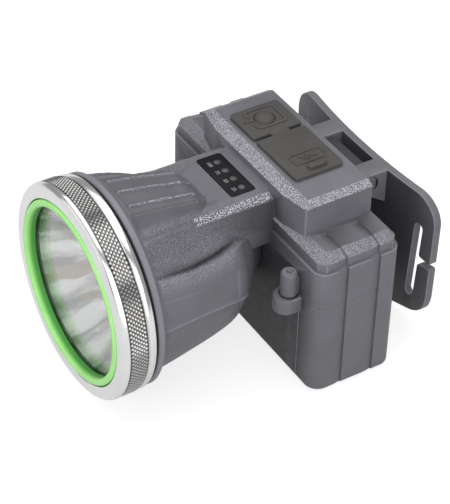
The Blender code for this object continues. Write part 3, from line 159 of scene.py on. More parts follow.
def arc(cx, cy, radius, start, stop, count):  # points on an arc, degrees
    steps = [math.radians(start + (stop - start) * i / count) for i in range(count + 1)]
    return [(cx + radius * math.cos(a), cy + radius * math.sin(a)) for a in steps]


def swung(v, angle, x=0.0, y=0.0):  # flat vector turned by an angle and set off from (x, y)
    c, s = math.cos(angle), math.sin(angle)
    return x + v.x * c - v.y * s, y + v.x * s + v.y * c


def roundedPath(points, radius, steps=5, closed=False):  # corners of a flat path turned into arcs
    count = len(points)
    made = []
    for i, point in enumerate(points):
        here = Vector(point)
        size = radius[i] if isinstance(radius, (list, tuple)) else radius
        if size <= 0 or (not closed and i in (0, count - 1)):
            made.append(tuple(here))
            continue
        before = (Vector(points[i - 1]) - here).normalized()
        after = (Vector(points[(i + 1) % count]) - here).normalized()
        half = before.angle(after) / 2
        reach = size / math.tan(half)
        middle = here + (before + after).normalized() * (size / math.sin(half))
        start, stop = here + before * reach - middle, here + after * reach - middle
        turn = start.angle_signed(stop)
        made += [swung(start, -turn * k / steps, middle.x, middle.y) for k in range(steps + 1)]
    return made


def roundedRect(x, y, radius, steps):
    return roundedPath([(x[0], y[0]), (x[1], y[0]), (x[1], y[1]), (x[0], y[1])], radius, steps, True)


def strokeOutline(path, halfWidth, cap=6):  # outline of a round-ended stroke along an open path
    points = [Vector(p) for p in path]
    left, right = [], []
    for i, p in enumerate(points):
        ahead = points[min(i + 1, len(points) - 1)] - points[max(i - 1, 0)]
        out = Vector((-ahead.y, ahead.x)).normalized() * halfWidth
        left.append(p + out)
        right.append(p - out)
    ends = [[p + Vector(swung(start - p, -math.pi * k / cap)) for k in range(1, cap)]
            for p, start in ((points[-1], left[-1]), (points[0], right[0]))]
    return [tuple(p) for p in left + ends[0] + right[::-1] + ends[1]]


def loose(name, bm):  # an object that is only a tool for a Boolean
    mesh = bpy.data.meshes.new(name)
    bm.to_mesh(mesh)
    bm.free()
    made = bpy.data.objects.new(name, mesh)
    scene.collection.objects.link(made)
    return made


def joined(*shapes):
    return [("UNION", bm) for bm in shapes]


def cutOut(*shapes):
    return [("DIFFERENCE", bm) for bm in shapes]


def combined(base, tools):  # tools from joined and cutOut, in working order; gives a bmesh back
    body = loose("work", base)
    helpers = []
    for operation, tool in tools:
        helper = loose("tool", tool)
        helpers.append(helper)
        step = body.modifiers.new(operation, "BOOLEAN")
        step.operation = operation
        step.solver = "EXACT"
        step.object = helper
    bpy.context.view_layer.update()
    result = bmesh.new()
    result.from_object(body, bpy.context.evaluated_depsgraph_get())
    for helper in helpers + [body]:
        bpy.data.objects.remove(helper)
    bmesh.ops.remove_doubles(result, verts=result.verts, dist=2e-7)
    return result


def keepPiece(name, bm, body, finishes, replaced=(), smoothAngle=35):
    bmesh.ops.recalc_face_normals(bm, faces=bm.faces)
    mesh = bpy.data.meshes.new(name)
    bm.to_mesh(mesh)
    bm.free()
    for finish in finishes:
        mesh.materials.append(finish)
    mesh.shade_smooth()
    mesh.set_sharp_from_angle(angle=math.radians(smoothAngle))
    piece = bpy.data.objects.new(name, mesh)
    scene.collection.objects.link(piece)
    if body:
        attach(piece, body)
    if replaced:
        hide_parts(*replaced)
    return piece


def keepLayer(mesh, label, values, domain="CORNER"):
    mesh.attributes.new(label, "FLOAT", domain)
    mesh.attributes[label].data.foreach_set("value", values)


def offAxis(p):  # distance from the head's axis
    return math.hypot(p.x, p.z - axisHeight)


def between(x, knots, values):  # smooth curve through a table
    if x <= knots[0]:
        return values[0]
    if x >= knots[-1]:
        return values[-1]
    i = max(k for k in range(len(knots) - 1) if knots[k] <= x)
    step = knots[i + 1] - knots[i]
    t = (x - knots[i]) / step

    def slope(k):
        before, after = max(k - 1, 0), min(k + 1, len(knots) - 1)
        return (values[after] - values[before]) / (knots[after] - knots[before])
    share, lean = 2 * t ** 3 - 3 * t ** 2 + 1, t ** 3 - 2 * t ** 2 + t
    return (share * values[i] + lean * step * slope(i) + (1 - share) * values[i + 1]
            + (t ** 3 - t ** 2) * step * slope(i + 1))


def eased(x, low, high):
    t = min(1, max(0, (x - low) / (high - low)))
    return t * t * (3 - 2 * t)


def inside(x, low, high, soft):  # 1 between low and high, easing to 0 outside
    return eased(x, low - soft, low) * (1 - eased(x, high, high + soft))


def beside(x, line, full, gone):  # 1 within full of the line, 0 past gone
    return 1 - eased(abs(x - line), full, gone)


# helpers for materials
def shaderGroup(name, inputs, outputs):
    group = bpy.data.node_groups.new(name, "ShaderNodeTree")
    for label, kind, value in inputs:
        socket = group.interface.new_socket(name=label, in_out="INPUT", socket_type="NodeSocket" + kind)
        if value is not None:
            socket.default_value = value
    for label, kind in outputs:
        group.interface.new_socket(name=label, in_out="OUTPUT", socket_type="NodeSocket" + kind)
    return group, group.nodes.new("NodeGroupInput"), group.nodes.new("NodeGroupOutput")


def feed(tree, socket, value):  # a value, a colour or a link
    if isinstance(value, bpy.types.NodeSocket):
        tree.links.new(value, socket)
    else:
        socket.default_value = (*value, 1.0) if isinstance(value, tuple) else value


def addMath(tree, operation, a, b, clamp=False):
    node = tree.nodes.new("ShaderNodeMath")
    node.operation = operation
    node.use_clamp = clamp
    feed(tree, node.inputs[0], a)
    feed(tree, node.inputs[1], b)
    return node.outputs[0]


def times(tree, a, b, clamp=False):
    return addMath(tree, "MULTIPLY", a, b, clamp)


def addNoise(tree, vector, scale, detail=2.0, rough=0.5):
    node = tree.nodes.new("ShaderNodeTexNoise")
    for label, value in (("Vector", vector), ("Scale", scale), ("Detail", detail), ("Roughness", rough)):
        feed(tree, node.inputs[label], value)
    return node.outputs["Fac"]


def addRange(tree, value, low, high, toLow=0.0, toHigh=1.0, smooth=False):
    node = tree.nodes.new("ShaderNodeMapRange")
    node.interpolation_type = "SMOOTHSTEP" if smooth else "LINEAR"
    labels = ("Value", "From Min", "From Max", "To Min", "To Max")
    for label, number in zip(labels, (value, low, high, toLow, toHigh)):
        feed(tree, node.inputs[label], number)
    return node.outputs["Result"]


def addStep(tree, value, low, high, level=1.0):  # soft threshold
    return addRange(tree, value, low, high, 0.0, level, True)


def addMix(tree, factor, a, b):
    node = tree.nodes.new("ShaderNodeMix")
    node.data_type = "RGBA"
    for i, value in ((0, factor), (6, a), (7, b)):
        feed(tree, node.inputs[i], value)
    return node.outputs[2]


def addGroup(tree, group, vector, **values):
    node = tree.nodes.new("ShaderNodeGroup")
    node.node_tree = group
    feed(tree, node.inputs["Vector"], vector)
    for label, value in values.items():
        feed(tree, node.inputs[label.replace("_", " ")], value)
    return node


def addBump(tree, height, strength, distance):
    bump = tree.nodes.new("ShaderNodeBump")
    for label, value in (("Strength", strength), ("Distance", distance), ("Height", height)):
        feed(tree, bump.inputs[label], value)
    return bump.outputs["Normal"]


def readLayer(tree, label):
    layer = tree.nodes.new("ShaderNodeAttribute")
    layer.attribute_name = label
    return layer.outputs["Fac"]


def splitVector(tree, vector):
    split = tree.nodes.new("ShaderNodeSeparateXYZ")
    feed(tree, split.inputs["Vector"], vector)
    return split.outputs


def shader(name):
    made = bpy.data.materials.new(name)
    made.use_nodes = True
    return made, made.node_tree, made.node_tree.nodes.new("ShaderNodeTexCoord").outputs["Object"]


def setShader(tree, **values):  # inputs of the Principled shader, by name
    for label, value in values.items():
        feed(tree, tree.nodes["Principled BSDF"].inputs[label.replace("_", " ")], value)


def toned(tree, use, dark, light):
    return addMix(tree, use.outputs["Tone"], dark, light)


def smeared(tree, use, low, high):
    return addRange(tree, use.outputs["Smear"], 0, 1, low, high)


def scaled(colour, share):
    return tuple(min(1, c * share) for c in colour)


def makeHandling():  # slow tone changes and faint smears, as handled plastic has
    inputs = [("Vector", "Vector", None), ("Cloud Scale", "Float", 90.0), ("Smear Scale", "Float", 400.0)]
    group, into, out = shaderGroup("handling", inputs, [("Tone", "Float"), ("Smear", "Float")])
    cloud = addNoise(group, into.outputs["Vector"], into.outputs["Cloud Scale"], 4.0, 0.6)
    smear = addNoise(group, into.outputs["Vector"], into.outputs["Smear Scale"], 3.0, 0.65)
    feed(group, out.inputs["Tone"], addStep(group, cloud, 0.3, 0.7))
    feed(group, out.inputs["Smear"], addStep(group, smear, 0.35, 0.75))
    return group


def makeGrainAndGlints():  # fine moulded grain and a coarse erosion where Spark is 1; painted glints on the erosion, painted shade in its pits, and finer painted glint specks by the second mask
    group, into, out = shaderGroup(
        "grainAndGlints", [("Vector", "Vector", None), ("Spark", "Float", 0.0), ("Dust", "Float", 0.0),
                       ("Fine Scale", "Float", 4200.0), ("Coarse Scale", "Float", 3300.0)],
        [("Height", "Float"), ("Glint", "Float"), ("Pit", "Float")])
    vector, spark, scale = [into.outputs[label] for label in ("Vector", "Spark", "Coarse Scale")]
    fine = addNoise(group, vector, into.outputs["Fine Scale"], 2.0, 0.6)
    coarse = addNoise(group, vector, scale, 0.0, 0.4)
    cells = group.nodes.new("ShaderNodeTexVoronoi")
    feed(group, cells.inputs["Vector"], vector)
    feed(group, cells.inputs["Scale"], scale)
    pitted = addMath(group, "ADD", times(group, coarse, 0.9), times(group, cells.outputs["Distance"], 0.6))
    height = addMath(group, "ADD", times(group, fine, 0.10), times(group, pitted, spark))
    feed(group, out.inputs["Height"], height)
    # painted highlight: bright glint specks on the erosion
    glint = times(group, addStep(group, coarse, 0.50, 0.66), spark, True)
    # painted highlight: finer glint specks where the second mask is 1
    dots = addNoise(group, vector, 4700.0, 0.0, 0.4)
    fineGlints = times(group, addStep(group, dots, 0.52, 0.68), into.outputs["Dust"])
    feed(group, out.inputs["Glint"], addMath(group, "MAXIMUM", glint, fineGlints))
    # painted shade: dark specks in the erosion's pits
    holes = addStep(group, coarse, 0.50, 0.36)
    feed(group, out.inputs["Pit"], times(group, holes, addRange(group, spark, 0.05, 0.4), True))
    return group


handling = makeHandling()
grainAndGlints = makeGrainAndGlints()


def plasticFinish(name, colour, rough, grain=0.16, sparkle=False, fineScale=4200.0):
    made, tree, vector = shader(name)
    use = addGroup(tree, handling, vector)
    layers = [readLayer(tree, label) if sparkle else 0.0 for label in ("spark", "fineGlint")]
    skin = addGroup(tree, grainAndGlints, vector, Spark=layers[0], Dust=layers[1], Fine_Scale=fineScale)
    base = toned(tree, use, scaled(colour, 0.93), scaled(colour, 1.06))
    if sparkle:
        # painted shade in the pits, then painted glints over the base colour
        base = addMix(tree, times(tree, skin.outputs["Pit"], 0.6), base, scaled(colour, 0.35))
        base = addMix(tree, times(tree, skin.outputs["Glint"], 0.9), base, scaled(colour, 4.2))
        # painted highlight on rounded edges, from its own layer
        base = addMix(tree, readLayer(tree, "rim"), base, scaled(colour, 2.1))
        # painted shade from its own layer, in corners, creases and under the horn
        base = addMix(tree, readLayer(tree, "paintedShade"), base, scaled(colour, 0.12))
    setShader(tree, Base_Color=base, Roughness=smeared(tree, use, rough - 0.05, rough + 0.07),
              Normal=addBump(tree, skin.outputs["Height"], grain, 0.0002), Specular_IOR_Level=0.32)
    return made


def metalFinish(name, colour, rough, streak=0.05, ring=False):
    made, tree, vector = shader(name)
    use = addGroup(tree, handling, vector)
    stretch = tree.nodes.new("ShaderNodeMapping")
    stretch.inputs["Scale"].default_value = (0.05, 1.0, 0.05) if ring else (1.0, 0.08, 1.0)
    feed(tree, stretch.inputs["Vector"], vector)
    lines = addNoise(tree, stretch.outputs["Vector"], 3600.0, 3.0, 0.7)
    hazy = addMath(tree, "ADD", addRange(tree, lines, 0.3, 0.7, rough, rough + streak),
                   times(tree, use.outputs["Smear"], streak))
    setShader(tree, Metallic=1.0, Base_Color=toned(tree, use, scaled(colour, 0.94), colour), Roughness=hazy,
              Normal=addBump(tree, lines, 0.05, 0.00002))
    return made


def makeKnurl():  # knurl points in the aluminium's tone over valleys darkened with painted shade
    made, tree, vector = shader("knurledAluminium")
    use = addGroup(tree, handling, vector)
    worn = toned(tree, use, (0.58, 0.575, 0.57), (0.70, 0.695, 0.69))
    high = addRange(tree, readLayer(tree, "crest"), 0.0, 0.75)
    setShader(tree, Metallic=1.0, Base_Color=addMix(tree, high, (0.11, 0.105, 0.10), worn),
              Roughness=smeared(tree, use, 0.14, 0.22))
    return made


def makeGreenSilicone():  # painted shade: darker green down the inner wall
    made, tree, vector = shader("greenSilicone")
    use = addGroup(tree, handling, vector, Cloud_Scale=140.0)
    depth = addStep(tree, splitVector(tree, vector)["Y"], -0.0646, -0.0630)
    lit = toned(tree, use, (0.39, 0.92, 0.25), (0.47, 0.97, 0.33))
    skin = addGroup(tree, grainAndGlints, vector, Fine_Scale=2200.0)
    setShader(tree, Base_Color=addMix(tree, depth, lit, (0.09, 0.42, 0.07)),
              Roughness=smeared(tree, use, 0.34, 0.44),
              Normal=addBump(tree, skin.outputs["Height"], 0.08, 0.0002))
    return made


def makeMirror():  # silver with painted reflections: light and dark rays and warm bands running out from the axis
    made, tree, vector = shader("mirrorCoating")
    use = addGroup(tree, handling, vector, Cloud_Scale=110.0, Smear_Scale=700.0)
    split = splitVector(tree, vector)
    ray = tree.nodes.new("ShaderNodeCombineXYZ")
    up = addMath(tree, "SUBTRACT", split["Z"], axisHeight * mm)
    feed(tree, ray.inputs["X"], addMath(tree, "ARCTAN2", split["X"], up))
    feed(tree, ray.inputs["Y"], times(tree, split["Y"], 12.0))
    # painted reflection: light and dark rays, and warm bands, by bearing round the axis
    streak = addStep(tree, addNoise(tree, ray.outputs["Vector"], 3.6, 4.0, 0.62), 0.40, 0.60)
    reflectionTint = addStep(tree, addNoise(tree, ray.outputs["Vector"], 2.3, 3.0, 0.6), 0.53, 0.60, 0.85)
    silver = addMix(tree, streak, (0.19, 0.19, 0.19), (0.74, 0.74, 0.735))
    setShader(tree, Metallic=0.72, Base_Color=addMix(tree, reflectionTint, silver, (0.30, 0.22, 0.17)),
              Roughness=smeared(tree, use, 0.10, 0.17),
              Normal=addBump(tree, addNoise(tree, vector, 320.0), 0.06, 0.0003))
    return made


def makeClear():
    made, tree, vector = shader("clearLens")
    use = addGroup(tree, handling, vector, Smear_Scale=260.0)
    setShader(tree, Base_Color=(0.97, 0.985, 0.98), Transmission_Weight=1.0, IOR=1.49,
              Roughness=smeared(tree, use, 0.0, 0.035))
    return made


def tonedFinish(name, dark, light, rough, cloudScale=90.0):
    made, tree, vector = shader(name)
    use = addGroup(tree, handling, vector, Cloud_Scale=cloudScale)
    setShader(tree, Base_Color=toned(tree, use, dark, light), Roughness=smeared(tree, use, *rough))
    return made


def makeSmoked():
    made = tonedFinish("smokedWindow", (0.012, 0.012, 0.014), (0.018, 0.018, 0.021), (0.30, 0.42))
    setShader(made.node_tree, Specular_IOR_Level=0.06)
    return made


def makePrinted():
    made, tree, vector = shader("printedMark")
    worn = addRange(tree, addNoise(tree, vector, 6000.0, 2.0, 0.6), 0.3, 0.6)
    setShader(tree, Base_Color=addMix(tree, worn, (0.12, 0.12, 0.125), (0.32, 0.32, 0.33)), Roughness=0.6)
    return made


def makeBoardFinish(name, dark, light, copper):
    made, tree, vector = shader(name)
    use = addGroup(tree, handling, vector)
    grid = tree.nodes.new("ShaderNodeTexBrick")
    for label, value in (("Scale", 260.0), ("Mortar Size", 0.03), ("Vector", vector)):
        feed(tree, grid.inputs[label], value)
    setShader(tree, Base_Color=addMix(tree, grid.outputs["Fac"], toned(tree, use, dark, light), copper),
              Roughness=smeared(tree, use, 0.3, 0.5))
    return made


def makeCellFinish():  # shrink wrap with faint bands
    made, tree, vector = shader("cellWrap")
    use = addGroup(tree, handling, vector)
    bands = tree.nodes.new("ShaderNodeTexWave")
    bands.bands_direction = "X"
    for label, value in (("Scale", 18.0), ("Distortion", 0.2), ("Vector", vector)):
        feed(tree, bands.inputs[label], value)
    band = addRange(tree, bands.outputs["Fac"], 0.86, 0.9)
    setShader(tree, Base_Color=addMix(tree, band, (0.035, 0.13, 0.36), (0.05, 0.17, 0.45)),
              Roughness=smeared(tree, use, 0.25, 0.4))
    return made


greyPlastic = plasticFinish("greyAbs", (0.150, 0.147, 0.166), 0.46, 0.2, sparkle=True)
lowerPlastic = plasticFinish("greyAbsLower", (0.150, 0.147, 0.166), 0.46, 0.2, sparkle=True)
platePlastic = plasticFinish("greyAbsPlate", (0.155, 0.152, 0.168), 0.42, 0.14, sparkle=True)
padSilicone = plasticFinish("oliveSilicone", (0.070, 0.067, 0.064), 0.55, 0.10, fineScale=2600.0)
blackRubber = plasticFinish("blackRubber", (0.010, 0.010, 0.011), 0.5, 0.15)
phosphor = plasticFinish("emitterPhosphor", (0.80, 0.68, 0.16), 0.3, 0.05)
redWire = plasticFinish("redInsulation", (0.40, 0.02, 0.02), 0.4, 0.05)
blackWire = plasticFinish("blackInsulation", (0.015, 0.015, 0.016), 0.4, 0.05)
switchPlastic = plasticFinish("switchBlack", (0.02, 0.02, 0.021), 0.45, 0.08)
polishedMetal = metalFinish("polishedAluminium", (0.86, 0.86, 0.865), 0.15, ring=True)
steelMetal = metalFinish("zincSteel", (0.60, 0.60, 0.58), 0.28, 0.1)
nickelMetal = metalFinish("nickelStrip", (0.66, 0.63, 0.58), 0.3, 0.1)
machinedMetal = metalFinish("machinedAluminium", (0.62, 0.62, 0.64), 0.35, 0.12, ring=True)
knurlMetal = makeKnurl()
greenSilicone = makeGreenSilicone()
mirrorCoating = makeMirror()
clearLens = makeClear()
smokedWindow = makeSmoked()
frostedDome = tonedFinish("frostedLight", (0.035, 0.035, 0.037), (0.10, 0.10, 0.105), (0.28, 0.45), 600.0)
printedMark = makePrinted()
greenBoard = makeBoardFinish("boardGreen", (0.012, 0.10, 0.035), (0.02, 0.15, 0.05), (0.05, 0.22, 0.08))
whiteBoard = makeBoardFinish("boardWhite", (0.68, 0.68, 0.66), (0.80, 0.80, 0.78), (0.60, 0.56, 0.45))
cellFinish = makeCellFinish()
print("finishes made")

# bezel ring
bezel = {"steps": 150, "knurlRows": 4, "knurlDepth": 0.24, "front": -64.7, "outer": 30.0, "band": 29.7,
         "round": 1.8, "knurlFront": -62.75, "knurlBack": -57.55, "back": -55.2, "bore": 27.35, "lip": 25.9,
         "lipBack": -63.3}


def makeBezel(b):
    root = b["outer"] - b["knurlDepth"]  # radius at the foot of the knurls
    front, knurlFront, knurlBack, back = b["front"], b["knurlFront"], b["knurlBack"], b["back"]
    band, low = b["band"], b["band"] - 0.35
    rise = (knurlBack - knurlFront) / b["knurlRows"]
    profile = [(b["lip"] + 0.15, front)]
    profile += arc(b["outer"] - b["round"], front + b["round"], b["round"], -90, -4, 10)
    profile += [(b["outer"], knurlFront - 0.25)]
    profile += [(root, knurlFront + rise * i) for i in range(b["knurlRows"])]
    profile += [(root, knurlBack), (low, knurlBack + 0.12), (low, knurlBack + 0.32),
                (band - 0.05, knurlBack + 0.45), (band, knurlBack + 0.6), (band, back - 0.35),
                (band - 0.1, back - 0.1), (low, back), (b["bore"], back), (b["bore"], b["lipBack"]),
                (b["lip"], b["lipBack"]), (b["lip"], front + 0.15)]
    bm = turned(profile, b["steps"], closed=True)

    def knurled(face):
        middle = face.calc_center_median() / mm
        return knurlFront < middle.y < knurlBack and offAxis(middle) > root - 0.1
    grid = [f for f in bm.faces if knurled(f)]
    inner = [e for e in bm.edges if len(e.link_faces) == 2 and all(knurled(f) for f in e.link_faces)]
    bmesh.ops.poke(bm, faces=grid, offset=0, center_mode="MEAN")
    bmesh.ops.dissolve_edges(bm, edges=[e for e in inner if e.is_valid], use_verts=False)
    diamonds = [f for f in bm.faces if len(f.verts) == 4 and knurled(f)]
    bmesh.ops.poke(bm, faces=diamonds, offset=b["knurlDepth"] * mm, center_mode="MEAN")
    bmesh.ops.recalc_face_normals(bm, faces=bm.faces)
    for face in bm.faces:
        face.material_index = int(knurled(face))
    mesh = keepPiece("bezelRing", bm, "bezel", [polishedMetal, knurlMetal], ["bezel_ring"], 28).data
    heights = [min(1, max(0, (offAxis(v.co / mm) - root) / b["knurlDepth"])) for v in mesh.vertices]
    keepLayer(mesh, "crest", heights, "POINT")
    for polygon in mesh.polygons:
        if polygon.material_index == 1:
            polygon.use_smooth = False


makeBezel(bezel)
print("bezel made")

# lens, its green ring and the reflector
optics = {"ringFront": -65.1, "ringOuter": 25.6, "ringInner": 23.6, "ringRound": 0.75, "flange": 27.0,
          "flangeY": (-63.0, -62.2), "lens": 26.6, "lensY": (-61.9, -59.9), "rim": 23.6, "rimFlange": 26.6,
          "front": -59.6, "focal": 5.2, "hole": 4.6, "wall": 1.0, "bowlSteps": 40}


def makeOptics(o):
    soft, inner, outer = o["ringRound"], o["ringInner"], o["ringOuter"]
    ring = [(inner, o["ringFront"] + soft)]
    ring += arc(inner + soft, o["ringFront"] + soft, soft, 180, 270, 6)[1:]
    ring += arc(outer - soft, o["ringFront"] + soft, soft, -90, 0, 6)
    ring += [(outer, o["flangeY"][0])] + [(o["flange"], y) for y in o["flangeY"]] + [(inner, o["flangeY"][1])]
    keepPiece("lensRing", turned(ring, 160, closed=True), "lens_stack", [greenSilicone], ["lens_ring"])
    (front, back), edge = o["lensY"], o["lens"]
    disc = [(0, front), (edge - 0.3, front), (edge - 0.1, front + 0.1), (edge, front + 0.3),
            (edge, back - 0.3), (edge - 0.3, back), (0, back)]
    keepPiece("clearDisc", turned(disc, 160), "lens_stack", [clearLens], ["lens"], 15)
    rim, hole, wall, front = o["rim"], o["hole"], o["wall"], o["front"]
    vertex = front + rim ** 2 / (4 * o["focal"])
    radii = [rim + (hole - rim) * i / o["bowlSteps"] for i in range(o["bowlSteps"] + 1)]
    bowl = [(r, vertex - r ** 2 / (4 * o["focal"])) for r in radii]
    flange = o["rimFlange"]
    shell = [(rim + 0.35, front + 0.02), (flange, front), (flange, front + 1.0), (rim + 1.2, front + 1.0)]
    shell += [(r + wall, max(y + 0.5, front + 1.05)) for r, y in bowl[2::4]]
    tube = bowl[-1][1] + 1.2
    shell += [(hole + wall, tube), (hole, tube)]
    bm = turned(shell + bowl[::-1], 144, closed=True)
    keepPiece("mirrorBowl", bm, "case", [mirrorCoating], ["reflector"], 50)


makeOptics(optics)
print("optics made")

# horn: a turned skin pressed into its carved outline; a bearing is the angle from straight up, in degrees
horn = {
    "stations": (-51.6, -45.2, -40.2, -37.2, -34.2, -30.2, -26.7, -24.6, -22.2, -19.0, -15.8, -12.6),
    "top": (28.0, 26.9, 25.9, 25.2, 24.4, 23.4, 20.6, 18.8, 17.6, 16.2, 14.6, 12.6),  # radius at each station
    "shoulder": (28.0, 26.5, 24.8, 23.5, 22.6, 21.5, 20.1, 18.9, 17.4, 15.6, 13.8, 11.6),
    "groove": (27.8, 26.5, 25.3, 24.4, 23.6, 22.4, 20.9, 19.6, 17.8, 15.8, 13.8, 11.6),
    "cheek": (28.0, 27.1, 26.3, 25.8, 25.3, 24.5, 23.6, 22.7, 20.7, 17.8, 14.4, 11.0),
    "lineStations": (-52.6, -45.2, -38.8, -30.9, -23.8),
    "crease": (36.8, 34.7, 33.2, 32.0, 31.0),          # bearing where the petal starts
    "grooveHigh": (55.4, 56.8, 57.6, 56.4, 52.3),      # bearing of the groove's upper lip
    "grooveLow": (57.6, 59.4, 61.0, 60.2, 56.6),       # and of its lower lip
    "keel": (85.4, 86.2, 87.3, 89.6, 94.0),            # bearing of the ridge along the cheek
    "flange": ((0, -58.3), (26.6, -58.3), (27.0, -57.8), (27.0, -54.2), (29.1, -54.2), (29.4, -53.95),
               (29.4, -52.75), (29.28, -52.6), (28.5, -52.5), (28.45, -51.9), (28.3, -51.6)),
    "skinFront": -51.4, "skinBack": -12.6, "ringGap": 0.42, "around": 480, "flatHalf": 18,
    "padHalf": 18.4, "padFront": -50.1, "padBack": -26.2, "padDepth": 0.6, "ribs": (-12.2, 0.0, 12.2),
    "ribHigh": 0.65, "valley": 0.65, "petalBow": 0.25, "creaseHigh": 0.24, "grooveDeep": 1.0,
    "panelDeep": 0.32, "keelHigh": 0.5, "keelStep": 0.45, "bellyStep": 0.40, "backStep": 0.5,
    # weights of the painted shade, of the painted highlight lines and of the finer painted glint specks
    "shade": {"groove": 0.42, "slope": 0.30, "valley": 0.22, "facet": 0.20, "petal": 0.25, "underKeel": 0.2,
              "rear": 0.55, "pad": 0.14, "padEdge": 0.2},
    "highlightLines": {"crease": 0.46, "lip": 0.16, "keel": 0.42, "panel": 0.26, "padEdge": 0.32, "rib": 0.16},
    "fineGlint": {"petal": 0.48, "strip": 0.38}}


def hornLines(y):  # bearings of the crease, the groove's two lips and the keel
    rows = ("crease", "grooveHigh", "grooveLow", "keel")
    return [between(y, horn["lineStations"], horn[row]) for row in rows]


def padMask(y, bearing):  # long pad on the horn's top, rounded at its back corners
    across = abs(bearing) / horn["padHalf"]
    back = horn["padBack"] - 4.5 * eased(across, 0.45, 1.0) ** 1.5
    return inside(y, horn["padFront"], back, 0.5) * inside(abs(bearing), 0, horn["padHalf"], 0.9)


def toRib(bearing):
    return min(abs(bearing - r) for r in horn["ribs"])


def ribMask(y, bearing):
    back = horn["padBack"] - 2.2 - (1.6 if abs(bearing) > 6 else 0)
    return inside(y, horn["padFront"] + 0.8, back, 0.8) * beside(toRib(bearing), 0, 0.4, 1.5)


def facet(b, b0, r0, b1, r1, bow=0.0):  # radius along the flat between two bearings, bowed in or out
    whole, first, second = math.radians(b1 - b0), math.radians(b - b0), math.radians(b1 - b)
    flat = r0 * r1 * math.sin(whole) / (r0 * math.sin(first) + r1 * math.sin(second))
    return flat + bow * math.sin(math.pi * (b - b0) / (b1 - b0))


def hornRadius(y, bearing):
    b = abs(bearing)
    crease, high, low, keel = hornLines(y)
    rows = ("top", "shoulder", "groove", "cheek")
    top, shoulder, groove, cheek = [between(y, horn["stations"], horn[row]) for row in rows]
    carved = inside(y, -49.6, -24.0, 2.5)  # the carving fades out at the flange and at the back
    deep = horn["grooveDeep"] * inside(y, -50.0, -29.0, 4.0) * (0.55 + 0.45 * eased(y, -50.0, -34.0))
    ridge = horn["creaseHigh"] * beside(b, crease, 0.1, 1.8) * carved
    if b <= horn["flatHalf"]:
        radius = top
    elif b <= crease:
        radius = facet(b, horn["flatHalf"], top, crease, shoulder, -horn["valley"] * carved) + ridge
    elif b <= high:
        radius = facet(b, crease, shoulder, high, groove, -horn["petalBow"] * carved) + ridge
        radius -= eased(b, high - 5, high) ** 2 * deep
    elif b <= low:
        radius = groove - deep
        radius += (cheek - radius) * eased(b, high, high + (low - high) * 0.7)
    else:
        panel = inside(b, low + 11.5, keel - 2.2, 1.3) * inside(y, -50.4, -27.2, 0.45)
        radius = cheek - horn["panelDeep"] * panel
        radius += horn["keelHigh"] * beside(b, keel, 0.2, 1.1) * inside(y, -50.2, -24.0, 2.0)
        radius -= horn["keelStep"] * eased(b, keel + 0.6, keel + 2.0) * inside(y, -50.6, -21.0, 0.8)
        radius -= horn["bellyStep"] * eased(b, keel + 9.0, keel + 11.0) * inside(y, -50.6, -19.0, 0.8)
    behind = eased(y, -22.9, -22.0) * (1 - eased(y, -17.0, -13.0))
    radius -= horn["backStep"] * behind * eased(b, high - 3, low + 2)
    return radius - horn["padDepth"] * padMask(y, bearing) + horn["ribHigh"] * ribMask(y, bearing)


def blended(weights, masks):
    return sum(weight * masks[name] for name, weight in weights.items())


def hornPaint(y, bearing):  # erosion with painted glints, finer painted glint specks, painted shade and painted highlight lines at one spot of the horn
    b = abs(bearing)
    crease, high, low, keel = hornLines(y)
    pad, rib = padMask(y, bearing), ribMask(y, bearing)
    spark = 0.45 * beside(b, crease, 0.4, 1.4) * inside(y, -49.0, -38.0, 3.0)
    spark += rib * beside(toRib(bearing), 0, 0.4, 1.1)
    fineGlint = {"petal": inside(b, crease - 6.0, high + 0.5, 4.0) * inside(y, -51.0, -18.0, 2.5),
            "strip": inside(b, low + 0.2, low + 2.5, 6.0) * inside(y, -51.0, -29.0, 4.0)}
    deepening = 0.5 + 0.5 * eased(y, -48.0, -33.0)
    slope = eased(b, high - 7.0, high) * (1 - eased(b, high, high + 1.0))
    valley = eased(b, crease - 5.0, crease - 1.0) * (1 - eased(b, crease - 1.0, crease))
    shade = {
        "groove": inside(b, high - 0.6, high + 0.6, 1.4) * inside(y, -50.5, -27.0, 4.0) * deepening,
        "slope": slope * inside(y, -46.0, -27.0, 6.0), "valley": valley * inside(y, -49.0, -23.0, 2.5),
        "facet": inside(b, horn["padHalf"] + 1.0, crease - 0.5, 1.5) * inside(y, -50.5, -24.0, 2.0),
        "petal": inside(b, crease + 0.5, high, 1.5) * inside(y, -50.5, -16.0, 2.0),
        "underKeel": beside(b, keel + 1.6, 0.5, 1.4) * inside(y, -50.0, -24.0, 2.0),
        "rear": eased(y, -24.5, -13.5) * eased(b, crease + 4, high),
        "pad": pad * (1 - rib),
        "padEdge": beside(b, horn["padHalf"] - 0.7, 0.3, 1.1) * inside(y, -50.0, -30.0, 1.0)}
    highlightLines = {
        "crease": beside(b, crease, 0.3, 1.0) * inside(y, -50.5, -36.0, 2.5),
        "lip": beside(b, low + 0.6, 0.3, 1.3) * inside(y, -49.0, -28.0, 4.0),
        "keel": beside(b, keel, 0.2, 0.9) * inside(y, -50.2, -24.0, 2.0),
        "panel": beside(b, low + 11.0, 0.2, 0.9) * inside(y, -50.4, -28.0, 1.0),
        "padEdge": beside(b, horn["padHalf"] + 0.4, 0.2, 0.8) * inside(y, -50.0, -31.0, 1.0),
        "rib": rib}
    return {"spark": min(1.0, spark) if horn["skinFront"] < y < -14 else 0.0,
            "fineGlint": blended(horn["fineGlint"], fineGlint), "paintedShade": min(0.9, blended(horn["shade"], shade)),
            "rim": min(0.6, blended(horn["highlightLines"], highlightLines))}


